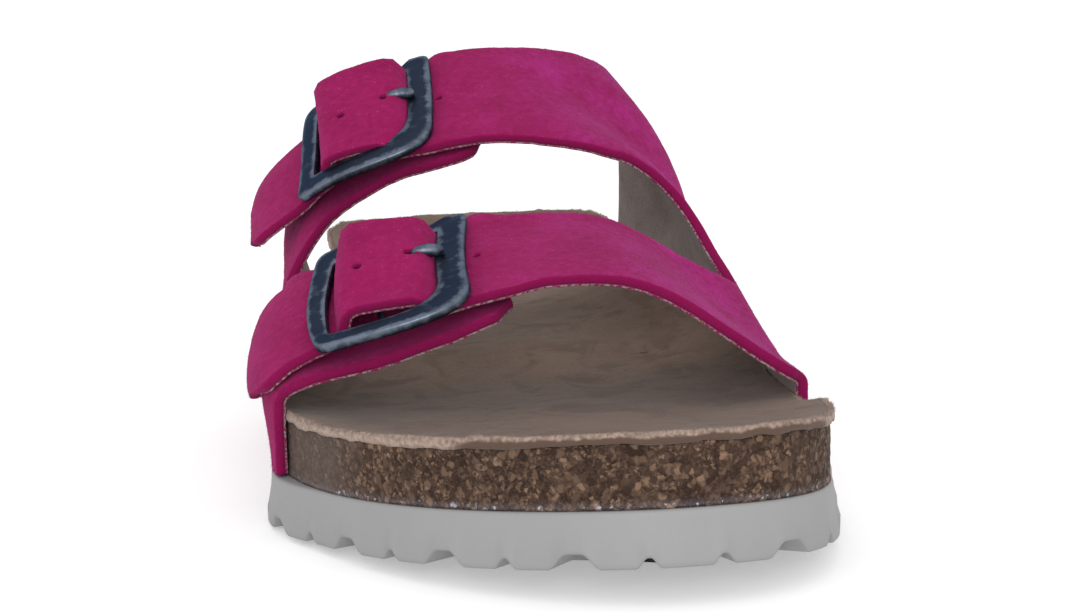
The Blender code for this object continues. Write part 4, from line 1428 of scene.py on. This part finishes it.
class SANDAL_OT_buckles(bpy.types.Operator):
    """Metal buckle frames with their centre bars and prongs."""

    bl_idname = "sandal.buckles"
    bl_label = "Buckles"

    def execute(self, context):
        sizes, colours = context.scene.sandal_sizes, context.scene.sandal_colours
        metal = shared("buckle_gunmetal", metal_finish, colours)
        half = sizes.frame_band / MM / 2
        profile, rub = band_profile(half, FRAME_THICKNESS / 2, FRAME_ROUND)
        for place, buckle in BUCKLES.items():
            inner, middle, _ = bar_girths(buckle, buckle.prong_station)
            span = on_frame((inner, middle), (buckle.prong_station,) * 2)
            girth_width = np.linalg.norm(span[1] - span[0]) / (inner - middle)
            flat = np.array((girth_width, 1.0))
            corners = np.array(buckle[:4]) * flat
            hole = rounded_route(offset_corners(corners, -half), HOLE_CORNERS) / flat
            rim = rounded_route(offset_corners(corners, half), RIM_CORNERS) / flat
            share = (profile[None, :, :1] / half + 1) / 2
            spots = mix(hole[:, None], rim[:, None], share)
            lift = profile[:, 1] - back_dip(buckle, hole)[:, None]
            band = on_frame(spots[..., 0], spots[..., 1], lift).reshape(-1, 3)
            faces = ring_faces(len(hole), len(profile), wrap_rings=True).tolist()

            back = mix(buckle.inner_back[1], buckle.outer_back[1], BAR_SHARE)
            front = mix(buckle.inner_front[1], buckle.outer_front[1], BAR_SHARE)
            stations = np.linspace(back, front, BAR_POINTS)
            girths = bar_girths(buckle, stations)[1]
            _, along, _, _ = form_frame(girths, stations)
            sag = -BAR_SAG * np.sin(np.linspace(0.0, math.pi, BAR_POINTS)) ** SAG_POWER
            line = on_frame(girths, stations, sag)
            bar, bar_faces = closed_tube(tube_rings(line, np.full(BAR_POINTS, BAR_RADIUS), along))
            faces += [[k + len(band) for k in face] for face in bar_faces]
            # Marks of burnish and painted highlight for the band and the bar
            rub_and_highlight_marks = np.concatenate([np.tile(rub, len(hole)), np.full(len(bar), RUB_AND_HIGHLIGHT["bar"])])
            add_piece(
                f"buckle_{place}_frame", np.concatenate([band, bar]), faces, metal,
                (f"buckle_{place}",), {"rub": rub_and_highlight_marks},
            )

            on_bar = (girth_width * (inner - middle), -BAR_SAG, BAR_RADIUS)
            away, lift, radius = np.array((on_bar, *PRONG)).T
            line = on_frame(inner - away / girth_width, np.full(len(away), buckle.prong_station), lift)
            path = smooth_path(line, PRONG_STEPS)
            _, _, forward, _ = form_frame(np.array(inner), np.array(buckle.prong_station))
            steps, stops = (np.linspace(0.0, 1.0, len(each)) for each in (path, radius))
            radii = np.interp(steps, stops, radius)
            prong, prong_faces = closed_tube(tube_rings(path, radii, forward))
            add_piece(
                f"prong_{place}_pin", prong, prong_faces, metal, (f"prong_{place}",),
                {"rub": np.full(len(prong), RUB_AND_HIGHLIGHT["prong"])},
            )
        return {"FINISHED"}


# Stage: the camera keeps the photo's angle to the shoe and is aimed to frame it
CAMERA_PLACE = (-58.8, 567.1, 100.8)
CAMERA_AIM = (-1.0, 165.0, 35.5)
CAMERA_LENS = 70.0
CAMERA_ROLL = -0.0367
SENSOR_WIDTH = 36.0
NEAR_CLIP = 0.01
FLOOR_REACH = 3.0
FLOOR_DROP = 0.0002
Softbox = namedtuple("Softbox", "name place size power")
SOFTBOXES = (
    Softbox("overhead_softbox", (-0.25, 0.10, 1.10), 1.2, 0.7),
    Softbox("front_softbox", (-0.15, -1.20, 0.26), 0.9, 8.0),
)
SKY_STRENGTH = 1.06
FLOOR_GLOW = 0.4


class SANDAL_OT_stage(bpy.types.Operator):
    """Pale floor, soft lights and the camera."""

    bl_idname = "sandal.stage"
    bl_label = "Stage"

    def execute(self, context):
        scene = context.scene
        mesh = bpy.data.meshes.new("studio_floor")
        bm = bmesh.new()
        bmesh.ops.create_grid(bm, x_segments=8, y_segments=8, size=FLOOR_REACH)
        bm.to_mesh(mesh)
        bm.free()
        mesh.materials.append(plain_finish("studio_floor", scene.sandal_colours.floor, FLOOR_GLOW))
        floor = bpy.data.objects.new("studio_floor", mesh)
        floor.location.z = -FLOOR_DROP
        scene.collection.objects.link(floor)
        floor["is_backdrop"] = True

        sky = bpy.data.worlds.new("studio_sky")
        sky.use_nodes = True
        ground = sky.node_tree.nodes["Background"]
        ground.inputs["Color"].default_value = (1.0, 1.0, 1.0, 1.0)
        ground.inputs["Strength"].default_value = SKY_STRENGTH
        scene.world = sky

        aim = Vector(to_world(np.array(CAMERA_AIM)))
        for box in SOFTBOXES:
            light = bpy.data.lights.new(box.name, "AREA")
            light.shape, light.size, light.energy = "DISK", box.size, box.power
            lamp = bpy.data.objects.new(box.name, light)
            lamp.location = box.place
            lamp.rotation_euler = (aim - lamp.location).to_track_quat("-Z", "Y").to_euler()
            scene.collection.objects.link(lamp)

        view = bpy.data.cameras.new("photo_view")
        view.lens, view.sensor_width, view.sensor_fit = CAMERA_LENS, SENSOR_WIDTH, "HORIZONTAL"
        view.clip_start = NEAR_CLIP
        camera = bpy.data.objects.new("photo_view", view)
        place = Vector(to_world(np.array(CAMERA_PLACE)))
        turn = (aim - place).to_track_quat("-Z", "Y").to_matrix().to_4x4()
        camera.matrix_world = Matrix.Translation(place) @ turn @ Matrix.Rotation(CAMERA_ROLL, 4, "Z")
        scene.collection.objects.link(camera)
        scene.camera = camera
        scene.view_settings.view_transform = "Standard"
        return {"FINISHED"}


class SANDAL_PT_panel(bpy.types.Panel):
    """Lists the sandal's pieces, sizes and colours."""

    bl_idname = "SANDAL_PT_panel"
    bl_label = "Sandal"
    bl_space_type = "VIEW_3D"
    bl_region_type = "UI"
    bl_category = "Sandal"

    def draw(self, context):
        for operator in OPERATORS:
            self.layout.operator(operator.bl_idname)
        for group in (context.scene.sandal_sizes, context.scene.sandal_colours):
            column = self.layout.column()
            for key in group.__annotations__:
                column.prop(group, key)


OPERATORS = (
    SANDAL_OT_outsole,
    SANDAL_OT_cork,
    SANDAL_OT_footbed,
    SANDAL_OT_straps,
    SANDAL_OT_buckles,
    SANDAL_OT_stage,
)
CLASSES = (SandalSizes, SandalColours, *OPERATORS, SANDAL_PT_panel)


def register():
    for each in CLASSES:
        bpy.utils.register_class(each)
    bpy.types.Scene.sandal_sizes = PointerProperty(type=SandalSizes)
    bpy.types.Scene.sandal_colours = PointerProperty(type=SandalColours)


def unregister():
    del bpy.types.Scene.sandal_colours
    del bpy.types.Scene.sandal_sizes
    for each in reversed(CLASSES):
        bpy.utils.unregister_class(each)


def main():
    register()
    bpy.ops.sandal.outsole()
    bpy.ops.sandal.cork()
    bpy.ops.sandal.footbed()
    bpy.ops.sandal.straps()
    bpy.ops.sandal.buckles()
    bpy.ops.sandal.stage()
    boxes = {"cad": CAD_BOX, "visual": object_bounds()}
    {key: [list(corner) for corner in box] for key, box in boxes.items()}


if __name__ == "__main__":
    main()
